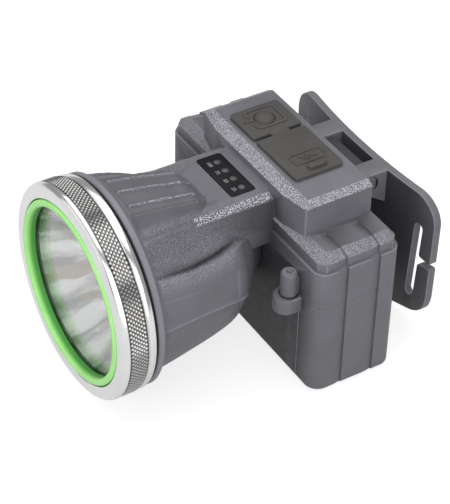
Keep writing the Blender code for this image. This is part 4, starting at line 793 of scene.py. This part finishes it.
def hornMesh():
    front, back = horn["skinFront"], horn["skinBack"]
    count = round((back - front) / horn["ringGap"])
    skin = [(20.0, front + (back - front) * i / count) for i in range(count + 1)]
    profile = [*horn["flange"], *skin, (0, back)]
    bm = turned(profile, horn["around"])
    for v in bm.verts:
        y = v.co.y / mm
        flat = Vector((v.co.x, 0, v.co.z - lensCentre.z))
        if y < front - 0.05 or flat.length < 1e-5:
            continue
        flat = flat.normalized() * hornRadius(y, math.degrees(math.atan2(flat.x, flat.z))) * mm
        v.co = Vector((flat.x, v.co.y, flat.z + lensCentre.z))
    bmesh.ops.recalc_face_normals(bm, faces=bm.faces)
    return bm


# case: skirt, cap, switch block, neck, pins and lug
case = {"halfW": 38.0, "front": -12.2, "back": 13.9, "corner": 4.0, "parting": 28.65, "lowTop": 28.55,
        "lip": 40.3, "inset": 0.95, "capSide": 43.05, "capTop": 44.3, "capChamfer": 3.3, "capCorner": 1.9,
        "backChamfer": 1.0}
block = {"halfW": 25.3, "front": -10.4, "back": 12.0, "cornerX": 17.0, "cornerY": -8.7, "foot": 41.2,
         "side": 52.45, "top": 53.7, "chamferX": 2.2, "chamferY": 3.55}
neck = {"left": -13.8, "right": 12.9, "spread": 2.0, "foot": 36.2, "side": 48.45, "top": 49.7, "chamfer": 2.3,
        "sideFillet": 0.4, "topFillet": 1.3}
strips = {"spans": ((-6.2, -3.1), (3.95, 6.9)), "depth": 0.7, "startX": 26.3}
pins = {"x": 27.0, "y": -14.05, "radius": 2.37, "top": 36.2, "collar": 3.45, "collarY": -14.9,
        "collarLow": 23.8, "dimple": ((1.05, 0.35), (0.8, 0.62), (0.4, 0.75), (0, 0.78)), "webHalf": 1.8,
        "webDrop": 0.7}
lug = {"y": 20.1, "z": 41.8, "radius": 2.9, "halfW": 7.1, "lower": ((14.9, 37.0), (12.9, 36.0)),
       "upper": ((11.0, 44.2), (22.0, 44.2), (22.7, 43.9), (23.0, 43.2))}
rooms = {  # hollows of the housing
    "bowl": [(0, -58.8), (25.3, -58.8), (24.6, -48.0), (22.4, -40.0), (19.9, -34.0), (18.5, -30.0),
             (17.6, -26.0), (0, -26.0)],
    "cells": ((-36, -10.2, 26), (36, 10.9, 42)), "boards": ((-22.7, -8, 39.3), (22.7, 10, 51.7)),
    "window": ((-10.45, -20.5, 49.05), (8.2, -12.8, 51)), "socket": ((4.85, -1.9, 50.7), (8.15, 6.1, 54.7)),
    "button": (-11.8, 2.1, 50.7, 54.7, 2.3), "pivotR": 1.7, "pivotHalf": 8.1, "pinScrew": (27, 35, 1.1)}
erosionAndGlints = {  # erosion of the chamfers with its painted glints, and finer painted glint specks
    "block": (0.55, 0.75), "capRight": (0.32, 0.35), "capLeft": (0.12, 0.35), "neckRight": (1.0, 0.0),
    "neckLeft": (0.2, 0.0)}


def capMesh():
    halfW = case["halfW"] - case["inset"]
    front, back = case["front"] + case["inset"], case["back"] - case["inset"]
    bm = boxMesh((-halfW, front, case["lip"] - 2), (halfW, back, case["capSide"]))
    roundUpright(bm, case["capCorner"], 1)
    reach = halfW - case["capChamfer"]
    chamferTop(bm, (-reach, front + case["capChamfer"]), (reach, back - case["backChamfer"]), case["capTop"])
    bmesh.ops.remove_doubles(bm, verts=bm.verts, dist=2e-5)
    roundEdges(bm, [e for e in sharpEdges(bm, 20) if e.calc_length() > 2 * mm], 0.22, 2)
    return bm


def blockMesh():
    b = block
    half = [(b["halfW"], b["back"]), (b["halfW"], b["cornerY"]), (b["cornerX"], b["front"])]
    bm = pushedOut([(-x, y) for x, y in half] + half[::-1], "xy", b["foot"], b["side"])
    reach = b["halfW"] - b["chamferX"]
    chamferTop(bm, (-reach, b["front"] + b["chamferY"]), (reach, b["back"]), b["top"])
    roundEdges(bm, sharpEdges(bm, 8), 0.28, 2)
    return bm


def neckMesh():
    left, right, chamfer, spread = neck["left"], neck["right"], neck["chamfer"], neck["spread"]
    foot, side, top = neck["foot"], neck["side"], neck["top"]
    outline = ((left - spread, foot), (left, side), (left + chamfer, top),
               (right - chamfer, top), (right, side), (right + spread, foot))
    bm = pushedOut(outline, "xz", -38.0, -8.4)
    roundEdges(bm, running(sharpEdges(bm, 20), 1), 0.18, 2)
    return bm


def neckFillets():  # rounded inner corners where the neck meets the switch block
    made = []
    face = block["front"] + 0.15
    size = neck["sideFillet"]
    for side, edge in ((-1, neck["left"]), (1, neck["right"])):
        curve = arc(edge + side * size, face - size, size, 180 if side > 0 else 0, 90, 8)
        points = [(edge - side, face + 0.6), (edge - side, face - size)] + curve
        points.append((edge + side * size, face + 0.6))
        bm = pushedOut(points, "xy", neck["foot"] + 2, neck["side"] - 0.35)
        for v in bm.verts:
            lean = (neck["side"] * mm - v.co.z) / ((neck["side"] - neck["foot"]) * mm)
            v.co.x += side * lean * neck["spread"] * mm
        made.append(bm)
    size, top = neck["topFillet"], neck["top"]
    points = [(face - size, top - 0.5)] + arc(face - size, top + size, size, -90, 0, 6)
    points += [(face + 0.6, top + size), (face + 0.6, top - 0.5)]
    reach = neck["chamfer"] + 0.3
    return made + [pushedOut(points, "yz", neck["left"] + reach, neck["right"] - reach)]


def pinMesh(side):  # round tip with a shallow dimple
    r, top, foot = pins["radius"], pins["top"], case["parting"] + 0.1
    profile = [(0, foot), (r, foot), (r, top - 1.5)] + arc(r - 0.75, top - 1.1, 0.75, 0, 90, 5)
    profile += [(a, top - drop) for a, drop in pins["dimple"]]
    return turnedUp(profile, side * pins["x"], pins["y"], 48)


def pinWeb(side):  # round-topped web that ties the pin to the case wall
    x, high, low, half = side * pins["x"], pins["top"] - pins["webDrop"], case["parting"], pins["webHalf"]
    outline = [(x - half, low)] + arc(x, high - half, half, 180, 0, 14) + [(x + half, low)]
    return pushedOut(outline, "xz", pins["y"] + 0.8, case["front"] + 1)


def stripTool(side, span):  # a ramp that deepens towards the back, over the end, the chamfer and the top
    def sheet(depth, y):
        wall, cap, top = case["halfW"] - depth, case["halfW"] - case["inset"] - depth * 0.75, case["capTop"]
        drop, start = top - depth * 0.72, strips["startX"]
        outline = ((wall, -1), (wall, case["lip"] - 0.35), (cap, case["lip"] + 0.1),
                   (cap, case["capSide"] - 0.2), (cap - case["capChamfer"] + 0.2, drop),
                   (start + 1.0, drop), (start, top + 0.3), (start, top + 2),
                   (case["halfW"] + 2, top + 2), (case["halfW"] + 2, -1))
        return [at(side * x, y, z) for x, z in outline]
    bm = bmesh.new()
    rings = []
    for share, depth in ((-0.06, 0.02), (0.25, 0.28), (0.7, 0.55), (1.0, strips["depth"])):
        rings.append([bm.verts.new(p) for p in sheet(depth, span[0] + (span[1] - span[0]) * share)])
    for ring in rings:
        for i, v in enumerate(ring):
            bm.edges.new((v, ring[(i + 1) % len(ring)]))
    for pair in zip(rings, rings[1:]):
        loops = [e for e in bm.edges if any(all(v in ring for v in e.verts) for ring in pair)]
        bmesh.ops.bridge_loops(bm, edges=loops)
    bm.faces.new(rings[0])
    bm.faces.new(rings[-1])
    bmesh.ops.recalc_face_normals(bm, faces=bm.faces)
    return bm


def stripTools(side):
    return cutOut(*[stripTool(side, span) for span in strips["spans"]])


def lugMesh():  # hinge lug with a round nose
    outline = [*lug["upper"], *arc(lug["y"], lug["z"], lug["radius"], -10, -90, 10), *lug["lower"]]
    bm = pushedOut(outline, "yz", -lug["halfW"], lug["halfW"])
    side = lug["halfW"] * mm
    rims = [e for e in sharpEdges(bm, 50) if all(abs(abs(v.co.x) - side) < 1e-6 for v in e.verts)]
    roundEdges(bm, rims, 0.3, 2)
    return bm


def makeHousing():
    halfW, low = case["halfW"], case["parting"]
    skirt = boxMesh((-halfW, case["front"], low), (halfW, case["back"], case["lip"]))
    roundUpright(skirt, case["corner"], 10)
    roundEdges(skirt, atHeight(skirt, case["lip"]), 0.3, 2)
    roundEdges(skirt, atHeight(skirt, low), 0.08, 1)
    tools = joined(capMesh(), blockMesh(), neckMesh(), hornMesh(), *neckFillets(), lugMesh())
    for side in (-1, 1):
        tools += joined(pinWeb(side), pinMesh(side))
    pivot = rodMesh(rooms["pivotR"], -rooms["pivotHalf"], rooms["pivotHalf"], lug["y"], lug["z"], 32)
    tools += cutOut(turned(rooms["bowl"], 64), boxMesh(*rooms["cells"]), boxMesh(*rooms["boards"]),
                    roundUpright(boxMesh(*rooms["window"]), 0.9, 4), boxMesh(*rooms["socket"]),
                    discMesh(*rooms["button"]), pivot)
    for side in (-1, 1):
        bore = discMesh(side * pins["x"], pins["y"], *rooms["pinScrew"], 20)
        tools += stripTools(side) + cutOut(bore)
    tools += cutOut(boxMesh((-39, -12.5, -1), (39, 15, low)))  # nothing hangs below the parting line
    bm = combined(skirt, tools)
    piece = keepPiece("housingMoulding", bm, "case", [greyPlastic], ["main_housing"], 30)
    paintHousing(piece.data)


def cornerShade(p, n):  # shade where the neck and the horn run into the case, and under the horn
    near = eased(p.y, -15.6, -12.7) * (1 - eased(abs(p.x), 14.0, 20.0)) * (1 - eased(p.z, 48.2, 49.4))
    corner = 0.75 * near * eased(p.z, 28.0, 34.0)
    atPin = math.hypot(abs(p.x) - pins["x"], p.y - pins["y"]) <= (1.9 if p.z > 22 else 0.5)
    flat = n.y < -0.7 and -12.6 < p.y < -11 and not atPin
    front = 0.80 * flat * (1 - eased(abs(p.x), 28.0, 37.0)) * (1 - 0.7 * eased(p.z, 33.0, 42.0))
    onTop = p.z > case["capTop"] - 1.2 and abs(n.z) > 0.2 and abs(p.x) > strips["startX"] - 0.2
    strip = sum(0.42 * eased(p.y, low, high) * (p.y < high + 0.02) * onTop for low, high in strips["spans"])
    return max(corner, front, strip)


def edgeHighlightLevels(mesh):  # painted highlight: long thin faces beside a turn of the surface are rounded edges, given a lighter colour
    neighbours = {}
    for polygon in mesh.polygons:
        for key in polygon.edge_keys:
            neighbours.setdefault(key, []).append(polygon.index)
    levels = [0.0] * len(mesh.polygons)
    for polygon in mesh.polygons:
        longest = max((mesh.vertices[a].co - mesh.vertices[b].co).length / mm for a, b in polygon.edge_keys)
        if longest < 0.5 or polygon.area / mm / mm / longest > 0.26:
            continue
        around = [i for key in polygon.edge_keys for i in neighbours[key] if i != polygon.index]
        if max(polygon.normal.angle(mesh.polygons[i].normal, 0) for i in around) > 0.2:
            levels[polygon.index] = 0.42
    return levels


def paintPlain(mesh, shade):  # painted edge highlights and painted shade on a plain moulding
    levels = edgeHighlightLevels(mesh)
    rims, hollows = [0.0] * len(mesh.loops), [0.0] * len(mesh.loops)
    for polygon in mesh.polygons:
        for i in polygon.loop_indices:
            hollows[i] = shade(mesh.vertices[mesh.loops[i].vertex_index].co / mm, polygon.normal)
            rims[i] = levels[polygon.index] * max(0, 1 - 2 * hollows[i])
    keepLayer(mesh, "rim", rims)
    keepLayer(mesh, "paintedShade", hollows)


def erosionAndGlintsAt(n, c):  # erosion with painted glints, and finer painted glint specks, on the chamfers; None on every other face
    slanted = 0.2 < n.z < 0.985 and n.y < 0.3
    if slanted and block["side"] - 0.02 < c.z < block["top"] - 0.02 and c.y > block["front"] - 0.1:
        return erosionAndGlints["block"]
    onCap = slanted and n.z > 0.35 and case["capSide"] - 0.05 < c.z < case["capTop"] - 0.02 and c.y > -11.6
    if onCap and (abs(c.x) > 32.4 or c.y < -7.0):
        return erosionAndGlints["capRight" if c.x > 0 else "capLeft"]
    onNeck = neck["side"] - 0.02 < c.z < neck["top"] - 0.01 and abs(n.y) < 0.1 and c.y < -12.4
    if onNeck and abs(abs(n.x) - 0.476) < 0.09:
        return erosionAndGlints["neckRight" if n.x > 0 else "neckLeft"]
    return None


def spotPaint(p, n, level):
    bearing, radius = math.degrees(math.atan2(p.x, p.z - axisHeight)), offAxis(p)
    if p.y < horn["skinFront"] - 0.05:  # the flange's two corners get a painted highlight
        return {"rim": 0.45 if radius > 28.9 and not -53.85 <= p.y <= -52.85 else 0.0}
    if p.y < horn["skinFront"]:  # the skin's first ring
        return {"rim": hornPaint(p.y, bearing)["rim"]}
    if p.y < -13 and abs(radius - hornRadius(p.y, bearing)) < 0.12:
        return hornPaint(p.y, bearing)
    return {"paintedShade": cornerShade(p, n), "rim": level}


def paintHousing(mesh):
    layers = {label: [0.0] * len(mesh.loops) for label in ("spark", "fineGlint", "paintedShade", "rim")}
    levels = edgeHighlightLevels(mesh)
    for polygon in mesh.polygons:
        levelled = erosionAndGlintsAt(polygon.normal, polygon.center / mm)
        for i in polygon.loop_indices:
            if levelled:
                layers["spark"][i], layers["fineGlint"][i] = levelled
                continue
            p = mesh.vertices[mesh.loops[i].vertex_index].co / mm
            for label, value in spotPaint(p, polygon.normal, levels[polygon.index]).items():
                layers[label][i] = value
    for label, values in layers.items():
        keepLayer(mesh, label, values)


makeHousing()
print("housing made")

# lower case
tray = {"footRound": 0.7, "room": ((-36, -10.2, 2), (36, 11.9, 30)),
        "ledge": ((-37, -11.2, 27.6), (37, 12.9, 30)), "ribHalf": 2.6, "ribOut": 0.22, "ribLow": 0.9,
        "seatR": 2.75, "seatDepth": 0.9, "screwR": 1.3, "headR": 2.5, "headLow": 22, "headHigh": 1.6}


def makeLowerCase(t):
    top, front, low = case["lowTop"], case["front"], pins["collarLow"]
    shell = boxMesh((-case["halfW"], front, 0), (case["halfW"], case["back"], top))
    roundUpright(shell, case["corner"], 10)
    roundEdges(shell, atHeight(shell, 0), t["footRound"], 3)
    roundEdges(shell, atHeight(shell, top), 0.08, 1)
    tools = []
    for side in (-1, 1):
        x, y, r = side * pins["x"], pins["collarY"], pins["collar"]
        outline = [(x + r, front + 1)] + arc(x, y, r, 0, -180, 24) + [(x - r, front + 1)]
        collar = pushedOut(outline, "xy", low, top)
        rims = [e for e in sharpEdges(collar, 60) if e.verts[0].co.z == e.verts[1].co.z]
        roundEdges(collar, [e for e in rims if min(v.co.y for v in e.verts) < (front + 0.5) * mm], 0.35, 3)
        half = t["ribHalf"]
        rib = boxMesh((x - half, front - t["ribOut"], t["ribLow"]), (x + half, front + 1, low + 1))
        roundEdges(rib, [e for e in sharpEdges(rib, 60) if all(v.co.y < front * mm for v in e.verts)], 0.3, 2)
        tools += joined(rib, collar)
    tools += cutOut(roundUpright(boxMesh(*t["room"]), 2, 4), roundUpright(boxMesh(*t["ledge"]), 2.6, 4))
    for side in (-1, 1):
        x, y = side * pins["x"], pins["y"]
        tools += cutOut(discMesh(x, y, top - t["seatDepth"], 30, t["seatR"], 40),
                        discMesh(x, y, t["headLow"], 30, t["screwR"], 24),
                        discMesh(x, y, t["headLow"], low + t["headHigh"], t["headR"], 32)) + stripTools(side)
    bm = combined(shell, tools)
    piece = keepPiece("lowerShell", bm, "case", [lowerPlastic], ["lower_case"], 30)
    paintPlain(piece.data, cornerShade)


makeLowerCase(tray)
print("lower case made")

# silicone cover: switch pad, bridge and charging flap in one moulding, with loops cut across the bridge
cover = {"x": (-17.8, 15.5), "y": (-5.6, 9.7), "low": 53.75, "top": 54.85, "corner": 1.3, "soft": 0.28,
         "notchX": (-5.0, -3.9), "notchY": (-0.35, 5.35), "notchCorners": (0.5, 0.25), "bendLoops": 8,
         "ringX": (-16.3, -8.1), "ringY": (-1.95, 6.95), "ringCorner": 1.15, "stroke": 0.47,
         "gapX": (-14.25, -10.4), "pill": ((-12.2, -3.7), (-12.2, -1.5)), "relief": 0.28, "markDrop": 0.12,
         "cellX": (6.5, 10.7), "cellY": (-2.2, 7.3), "cellCorner": 0.8, "cellLine": 0.17,
         "cellTip": ((8.1, 8.15), (9.1, 8.15)),
         "bolt": ((9.35, 5.2), (7.5, 2.1), (8.75, 2.5), (7.85, -0.3), (9.7, 2.9), (8.45, 2.5)),
         "crownCurve": ((0, 0), (0.5, 0.005), (1.1, 0.06), (1.7, 0.2), (2.2, 0.42), (2.6, 0.7)),
         "button": (-11.8, 2.1), "buttonR": 2.9, "crown": 55.85, "buttonLow": 52.9, "stemR": 1.4,
         "skirt": 54.45, "tabX": (12.1, 14.1), "tabY": (-0.3, 5.5), "tabTop": 55.95, "plugX": (5.2, 7.8),
         "plugY": (-1.55, 5.75), "plugLow": 52.5}


def makeCover(c):
    (x0, x1), (y0, y1), (n0, n1), (m0, m1) = c["x"], c["y"], c["notchX"], c["notchY"]
    low, top = c["low"], c["top"]
    corners = [(x0, y0), (n0, y0), (n0, m0), (n1, m0), (n1, y0), (x1, y0),
               (x1, y1), (n1, y1), (n1, m1), (n0, m1), (n0, y1), (x0, y1)]
    wide, tight = c["notchCorners"]
    sizes = [c["corner"], wide, tight, tight, wide, c["corner"]] * 2
    base = softTop(pushedOut(roundedPath(corners, sizes, 6, True), "xy", low, top), top, c["soft"], 3)
    high = top + c["relief"]
    fine = high - c["markDrop"]

    def raised(path, halfWidth, lift=high):
        return softTop(pushedOut(strokeOutline(path, halfWidth), "xy", top - 0.3, lift), lift, 0.13, 2)
    (rx0, rx1), (ry0, ry1), (g0, g1) = c["ringX"], c["ringY"], c["gapX"]
    corners = [(g0, ry0), (rx0, ry0), (rx0, ry1), (rx1, ry1), (rx1, ry0), (g1, ry0)]
    ring = roundedPath(corners, c["ringCorner"], 6)
    tools = joined(raised(ring, c["stroke"]), raised(c["pill"], c["stroke"]))
    line = c["cellLine"]
    for grow, foot, lift, way in ((line, top - 0.3, fine, joined), (-line, top - 0.03, fine + 1, cutOut)):
        spanX, spanY = [(span[0] - grow, span[1] + grow) for span in (c["cellX"], c["cellY"])]
        tools += way(pushedOut(roundedRect(spanX, spanY, c["cellCorner"] + grow, 4), "xy", foot, lift))
    tools += joined(raised(c["cellTip"], 0.3, fine), pushedOut(c["bolt"], "xy", top - 0.3, fine))
    tab = pushedOut(roundedRect(c["tabX"], c["tabY"], 0.95, 6), "xy", top - 0.5, c["tabTop"])
    (px0, px1), (py0, py1) = c["plugX"], c["plugY"]
    plug = roundUpright(boxMesh((px0, py0, c["plugLow"]), (px1, py1, low + 0.5)), 1.1, 4)
    tools += joined(softTop(tab, c["tabTop"], 0.45, 4), plug)
    tools += cutOut(discMesh(*c["button"], 53, 56, c["buttonR"] + 0.12, 64))
    bm = combined(base, tools)
    for i in range(c["bendLoops"]):
        cutAcross(bm, n0 + 0.02 + (n1 - n0 - 0.04) * i / (c["bendLoops"] - 1))
    piece = keepPiece("siliconeCover", bm, None, [padSilicone], [], 32)
    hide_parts("switch_pad", "usb_flap")
    start, end = [tuple(at(x, 2.5, 54.6)) for x in (n0 + 0.05, n1 - 0.05)]
    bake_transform(piece)
    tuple(start)
    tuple(end)
    r, crown, shoulder, skirt, stem = c["buttonR"], c["crown"], top - 0.05, c["skirt"], c["stemR"]
    dome = [(a, crown - drop) for a, drop in c["crownCurve"]]
    dome += [(r - 0.08, shoulder + 0.08), (r, shoulder - 0.12), (r, skirt), (stem, skirt),
             (stem, c["buttonLow"]), (0, c["buttonLow"])]
    bm = turnedUp(dome, *c["button"], 64)
    keepPiece("domeButton", bm, "button", [padSilicone], ["power_button"], 40)


makeCover(cover)
print("cover made")

# charge gauge window
gauge = {"x": (-10.3, 8.05), "y": (-20.35, -12.95), "low": 49.15, "top": 49.7, "lightY": -15.7, "lightR": 1.0,
         "lightX": (-6.95, -2.85, 1.25, 5.4), "lightUp": 0.34, "marks": ("100", "75", "50", "25"),
         "markY": -17.95, "markHigh": 1.15, "ink": 0.02}


def markMesh(mark, high, ink):  # a printed number as a thin mesh
    letters = bpy.data.curves.new("mark" + mark, "FONT")
    letters.body = mark
    letters.size = high * mm * 1.35
    letters.align_x = "CENTER"
    letters.extrude = letters.offset = ink * mm
    made = bpy.data.objects.new("mark" + mark, letters)
    scene.collection.objects.link(made)
    bpy.context.view_layer.update()
    mesh = bpy.data.meshes.new_from_object(made.evaluated_get(bpy.context.evaluated_depsgraph_get()))
    bpy.data.objects.remove(made)
    mesh.materials.clear()
    mesh.materials.append(printedMark)
    return mesh


def makeGauge(g):
    low, top, r, up = g["low"], g["top"], g["lightR"], g["lightUp"]
    bm = softTop(pushedOut(roundedRect(g["x"], g["y"], 0.85, 5), "xy", low, top), top, 0.08, 2)
    ball = (r * r + up * up) / (2 * up)  # radius of the shallow dome over each light
    reach = math.degrees(math.asin(r / ball))
    dome = [(0, top + up)] + arc(0, top + up - ball, ball, 90, 90 - reach, 8)[1:]
    dome += [(r, low + 0.2), (0, low + 0.2)]
    bm = combined(bm, joined(*[turnedUp(dome, x, g["lightY"], 32) for x in g["lightX"]]))
    for face in bm.faces:
        middle = face.calc_center_median() / mm
        near = min(math.hypot(middle.x - x, middle.y - g["lightY"]) for x in g["lightX"])
        face.material_index = int(middle.z > top + 0.005 and near < r)
    keepPiece("gaugeWindow", bm, "case", [smokedWindow, frostedDome], ["gauge_window"], 30)
    for x, mark in zip(g["lightX"], g["marks"]):
        mesh = markMesh(mark, g["markHigh"], g["ink"])
        spot = at(x - 0.05, g["markY"] - g["markHigh"] / 2, top + g["ink"] + 0.001)
        mesh.transform(Matrix.Translation(spot))
        piece = bpy.data.objects.new("gaugeMark" + mark, mesh)
        scene.collection.objects.link(piece)
        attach(piece, "case")


makeGauge(gauge)
print("gauge made")

# strap plate with its hinge ears
plate = {"face": 25.1, "thick": 2.35, "halfW": 33.0, "top": 45.0, "corner": 8.0, "low": 2.6, "curve": 400.0,
         "soft": 0.45, "lowCorner": ((32.6, 11.2), (31.6, 7.6), (28.6, 5.1), (20.0, 3.0)),
         "slot": ((26.2, 11.0), (27.4, 33.9)), "slotHalf": 1.45, "slitX": 27.5,
         "slit": (24.9, 22.0, 22.9, 24.0), "tipRound": 0.8, "lowRound": 1.5, "earX": (7.5, 13.6),
         "earR": 3.2, "earLow": 34.5, "pocketR": 2.7, "pocketDepth": 1.6, "pivot": (20.1, 41.8),
         "boreR": 1.9, "boreHalf": 15, "bendStep": 2, "shade": 0.74}


def plateBlank(p):  # flat plate with slots, slits and rounded rims, then bent to its curve
    half = arc(p["halfW"] - p["corner"], p["top"] - p["corner"], p["corner"], 90, 0, 14)
    half += list(p["lowCorner"]) + [(0, p["low"])]
    flat = pushedOut(half + [(-x, z) for x, z in half[-2::-1]], "xz", 0, p["thick"])
    inHigh, inLow, outLow, outHigh = p["slit"]
    tools = []
    for side in (-1, 1):
        slot = strokeOutline([(side * x, z) for x, z in p["slot"]], p["slotHalf"], 12)
        near, far = side * p["slitX"], side * (p["halfW"] + 1)
        slit = [(near, inHigh), (near, inLow), (far, outLow), (far, outHigh)]
        tools += cutOut(*[pushedOut(points, "xz", -1, p["thick"] + 1) for points in (slot, slit)])
    flat = combined(flat, tools)

    def corners():  # edges through the plate's thickness: edge, distance from the middle, height
        through = [e for e in sharpEdges(flat, 8) if spanOf(e, 1) > p["thick"] * 0.9]
        return [(e, abs(e.verts[0].co.x) / mm, e.verts[0].co.z / mm) for e in through]
    tips = [e for e, x, z in corners() if e.calc_face_angle(0) > 0.9 and 20 < z < 27 and x > 26]
    roundEdges(flat, tips, p["tipRound"], 4)
    low = [e for e, x, z in corners() if z < 12 and x > 28 and e.calc_face_angle(0) < 0.8]
    roundEdges(flat, low, p["lowRound"], 4)
    roundEdges(flat, [e for e in sharpEdges(flat, 50) if spanOf(e, 1) < 1e-4], p["soft"], 3)
    reach = int(p["halfW"])
    for x in range(1 - reach, reach, p["bendStep"]):
        cutAcross(flat, x)
    for v in flat.verts:
        x = v.co.x / mm
        v.co.y += (p["face"] + x * x / p["curve"]) * mm
    return flat


def makePlate(p):
    face, (y, z), (inner, outer) = p["face"], p["pivot"], p["earX"]
    ear = [(face + 0.9, p["top"]), (y, p["top"])] + arc(y, z, p["earR"], 98, 240, 16)
    ear += [(face, p["earLow"]), (face + 0.9, p["earLow"])]
    tools = []
    for side in (-1, 1):
        shape = pushedOut(ear, "yz", *sorted((side * inner, side * outer)))
        rims = [e for e in sharpEdges(shape, 50) if spanOf(e, 0) < 1e-4]
        roundEdges(shape, [e for e in rims if min(v.co.y for v in e.verts) < (face - 0.5) * mm], 0.3, 2)
        pocket = sorted((side * (outer - p["pocketDepth"]), side * (outer + 1)))
        tools += joined(shape) + cutOut(rodMesh(p["pocketR"], *pocket, y, z, 40))
    tools += cutOut(rodMesh(p["boreR"], -p["boreHalf"], p["boreHalf"], y, z, 32))
    bm = combined(plateBlank(p), tools)
    piece = keepPiece("strapPlate", bm, "bracket", [platePlastic], ["head_bracket"], 32)

    def shade(q, n):  # the face turned to the case gathers shade towards the middle
        across = (1 - 0.5 * eased(abs(q.x), 22.0, 33.0)) * (0.35 + 0.65 * eased(q.x, -20.0, 10.0))
        return p["shade"] * (n.y < -0.8) * across
    paintPlain(piece.data, shade)


makePlate(plate)
print("plate made")

# finishes for the parts inside and the small parts that keep their shape
partFinishes = (
    (blackRubber, ("case_gasket", "head_seal")),
    (steelMetal, ("case_screw_left", "case_screw_right", "board_screw_front", "board_screw_rear",
                  "usb_socket", "pivot_screw", "pivot_nut")),
    (cellFinish, ("battery_cell_lower", "battery_cell_upper")),
    (nickelMetal, ("cell_contact_left", "cell_contact_right")),
    (greenBoard, ("main_board", "gauge_board")), (switchPlastic, ("tact_switch", "switch_plunger")),
    (frostedDome, ("gauge_light_1", "gauge_light_2", "gauge_light_3", "gauge_light_4")),
    (redWire, ("led_wire_positive",)), (blackWire, ("led_wire_negative",)), (machinedMetal, ("heat_sink",)),
    (whiteBoard, ("led_board",)), (phosphor, ("led_emitter",)))
for finish, names in partFinishes:
    for name in names:
        for place in nodes[name].material_slots:
            place.material = finish
print("inner parts finished")


# floor, world, lamps and camera
def seenDirectly(tree, glossShare):  # 1 to the camera and through glass, less in reflections
    paths = tree.nodes.new("ShaderNodeLightPath")
    seen = addMath(tree, "MAXIMUM", paths.outputs["Is Camera Ray"], paths.outputs["Is Transmission Ray"])
    return addMath(tree, "MAXIMUM", seen, times(tree, paths.outputs["Is Glossy Ray"], glossShare))


def makeFloor():
    bm = bmesh.new()
    bmesh.ops.create_grid(bm, x_segments=1, y_segments=1, size=1.6)
    floor = loose("studioFloor", bm)
    floor.location = (0, 0, -0.0004)
    made, tree, vector = shader("whiteFloor")
    pale = addMix(tree, addNoise(tree, vector, 3.0), (0.40, 0.40, 0.40), (0.44, 0.44, 0.44))
    setShader(tree, Base_Color=pale, Roughness=1.0, Specular_IOR_Level=0.0, Emission_Color=(1, 1, 1),
              Emission_Strength=times(tree, seenDirectly(tree, 0.55), 0.72))
    floor.data.materials.append(made)


def makeWorld(level):
    world = bpy.data.worlds.new("studio")
    scene.world = world
    world.use_nodes = True
    tree = world.node_tree
    back = tree.nodes["Background"]
    feed(tree, back.inputs["Strength"], addRange(tree, seenDirectly(tree, 0.08), 0, 1, level, 1.0))
    feed(tree, back.inputs["Color"], (1, 1, 1))


def addLamp(name, spot, size, watts):
    data = bpy.data.lights.new(name, "AREA")
    data.shape = "RECTANGLE"
    data.size, data.size_y = size
    data.energy = watts
    lamp = bpy.data.objects.new(name, data)
    lamp.location = spot
    lamp.visible_transmission = False  # the bowl behind the lens shows the pale room, not the lamps
    lamp.rotation_euler = (Vector((0, -0.02, 0.03)) - Vector(spot)).to_track_quat("-Z", "Y").to_euler()
    scene.collection.objects.link(lamp)


lamps = {"top": {"spot": (-0.20, 0.05, 0.85), "size": (1.2, 1.2), "watts": 6.5},
         "right": {"spot": (0.85, -0.35, 0.32), "size": (1.5, 1.3), "watts": 11.6},
         "front": {"spot": (-0.35, -1.0, 0.45), "size": (1.3, 0.9), "watts": 2.3}}
for name, lamp in lamps.items():
    addLamp(name, **lamp)
makeWorld(0.27)
makeFloor()
view = {"spot": (335.979, -229.987, 352.574), "turn": (50.453, -1.126, 58.549), "lens": 135.573, "sensor": 36}


def makeCamera(v):
    data = bpy.data.cameras.new("view")
    data.sensor_width = v["sensor"]
    data.lens = v["lens"]
    data.clip_start = 0.01
    camera = bpy.data.objects.new("view", data)
    turn = Euler([math.radians(angle) for angle in v["turn"]]).to_matrix().to_4x4()
    camera.matrix_world = Matrix.Translation(at(*v["spot"])) @ turn
    scene.collection.objects.link(camera)
    scene.camera = camera


makeCamera(view)
scene.view_settings.view_transform = "Standard"
print("stage made")
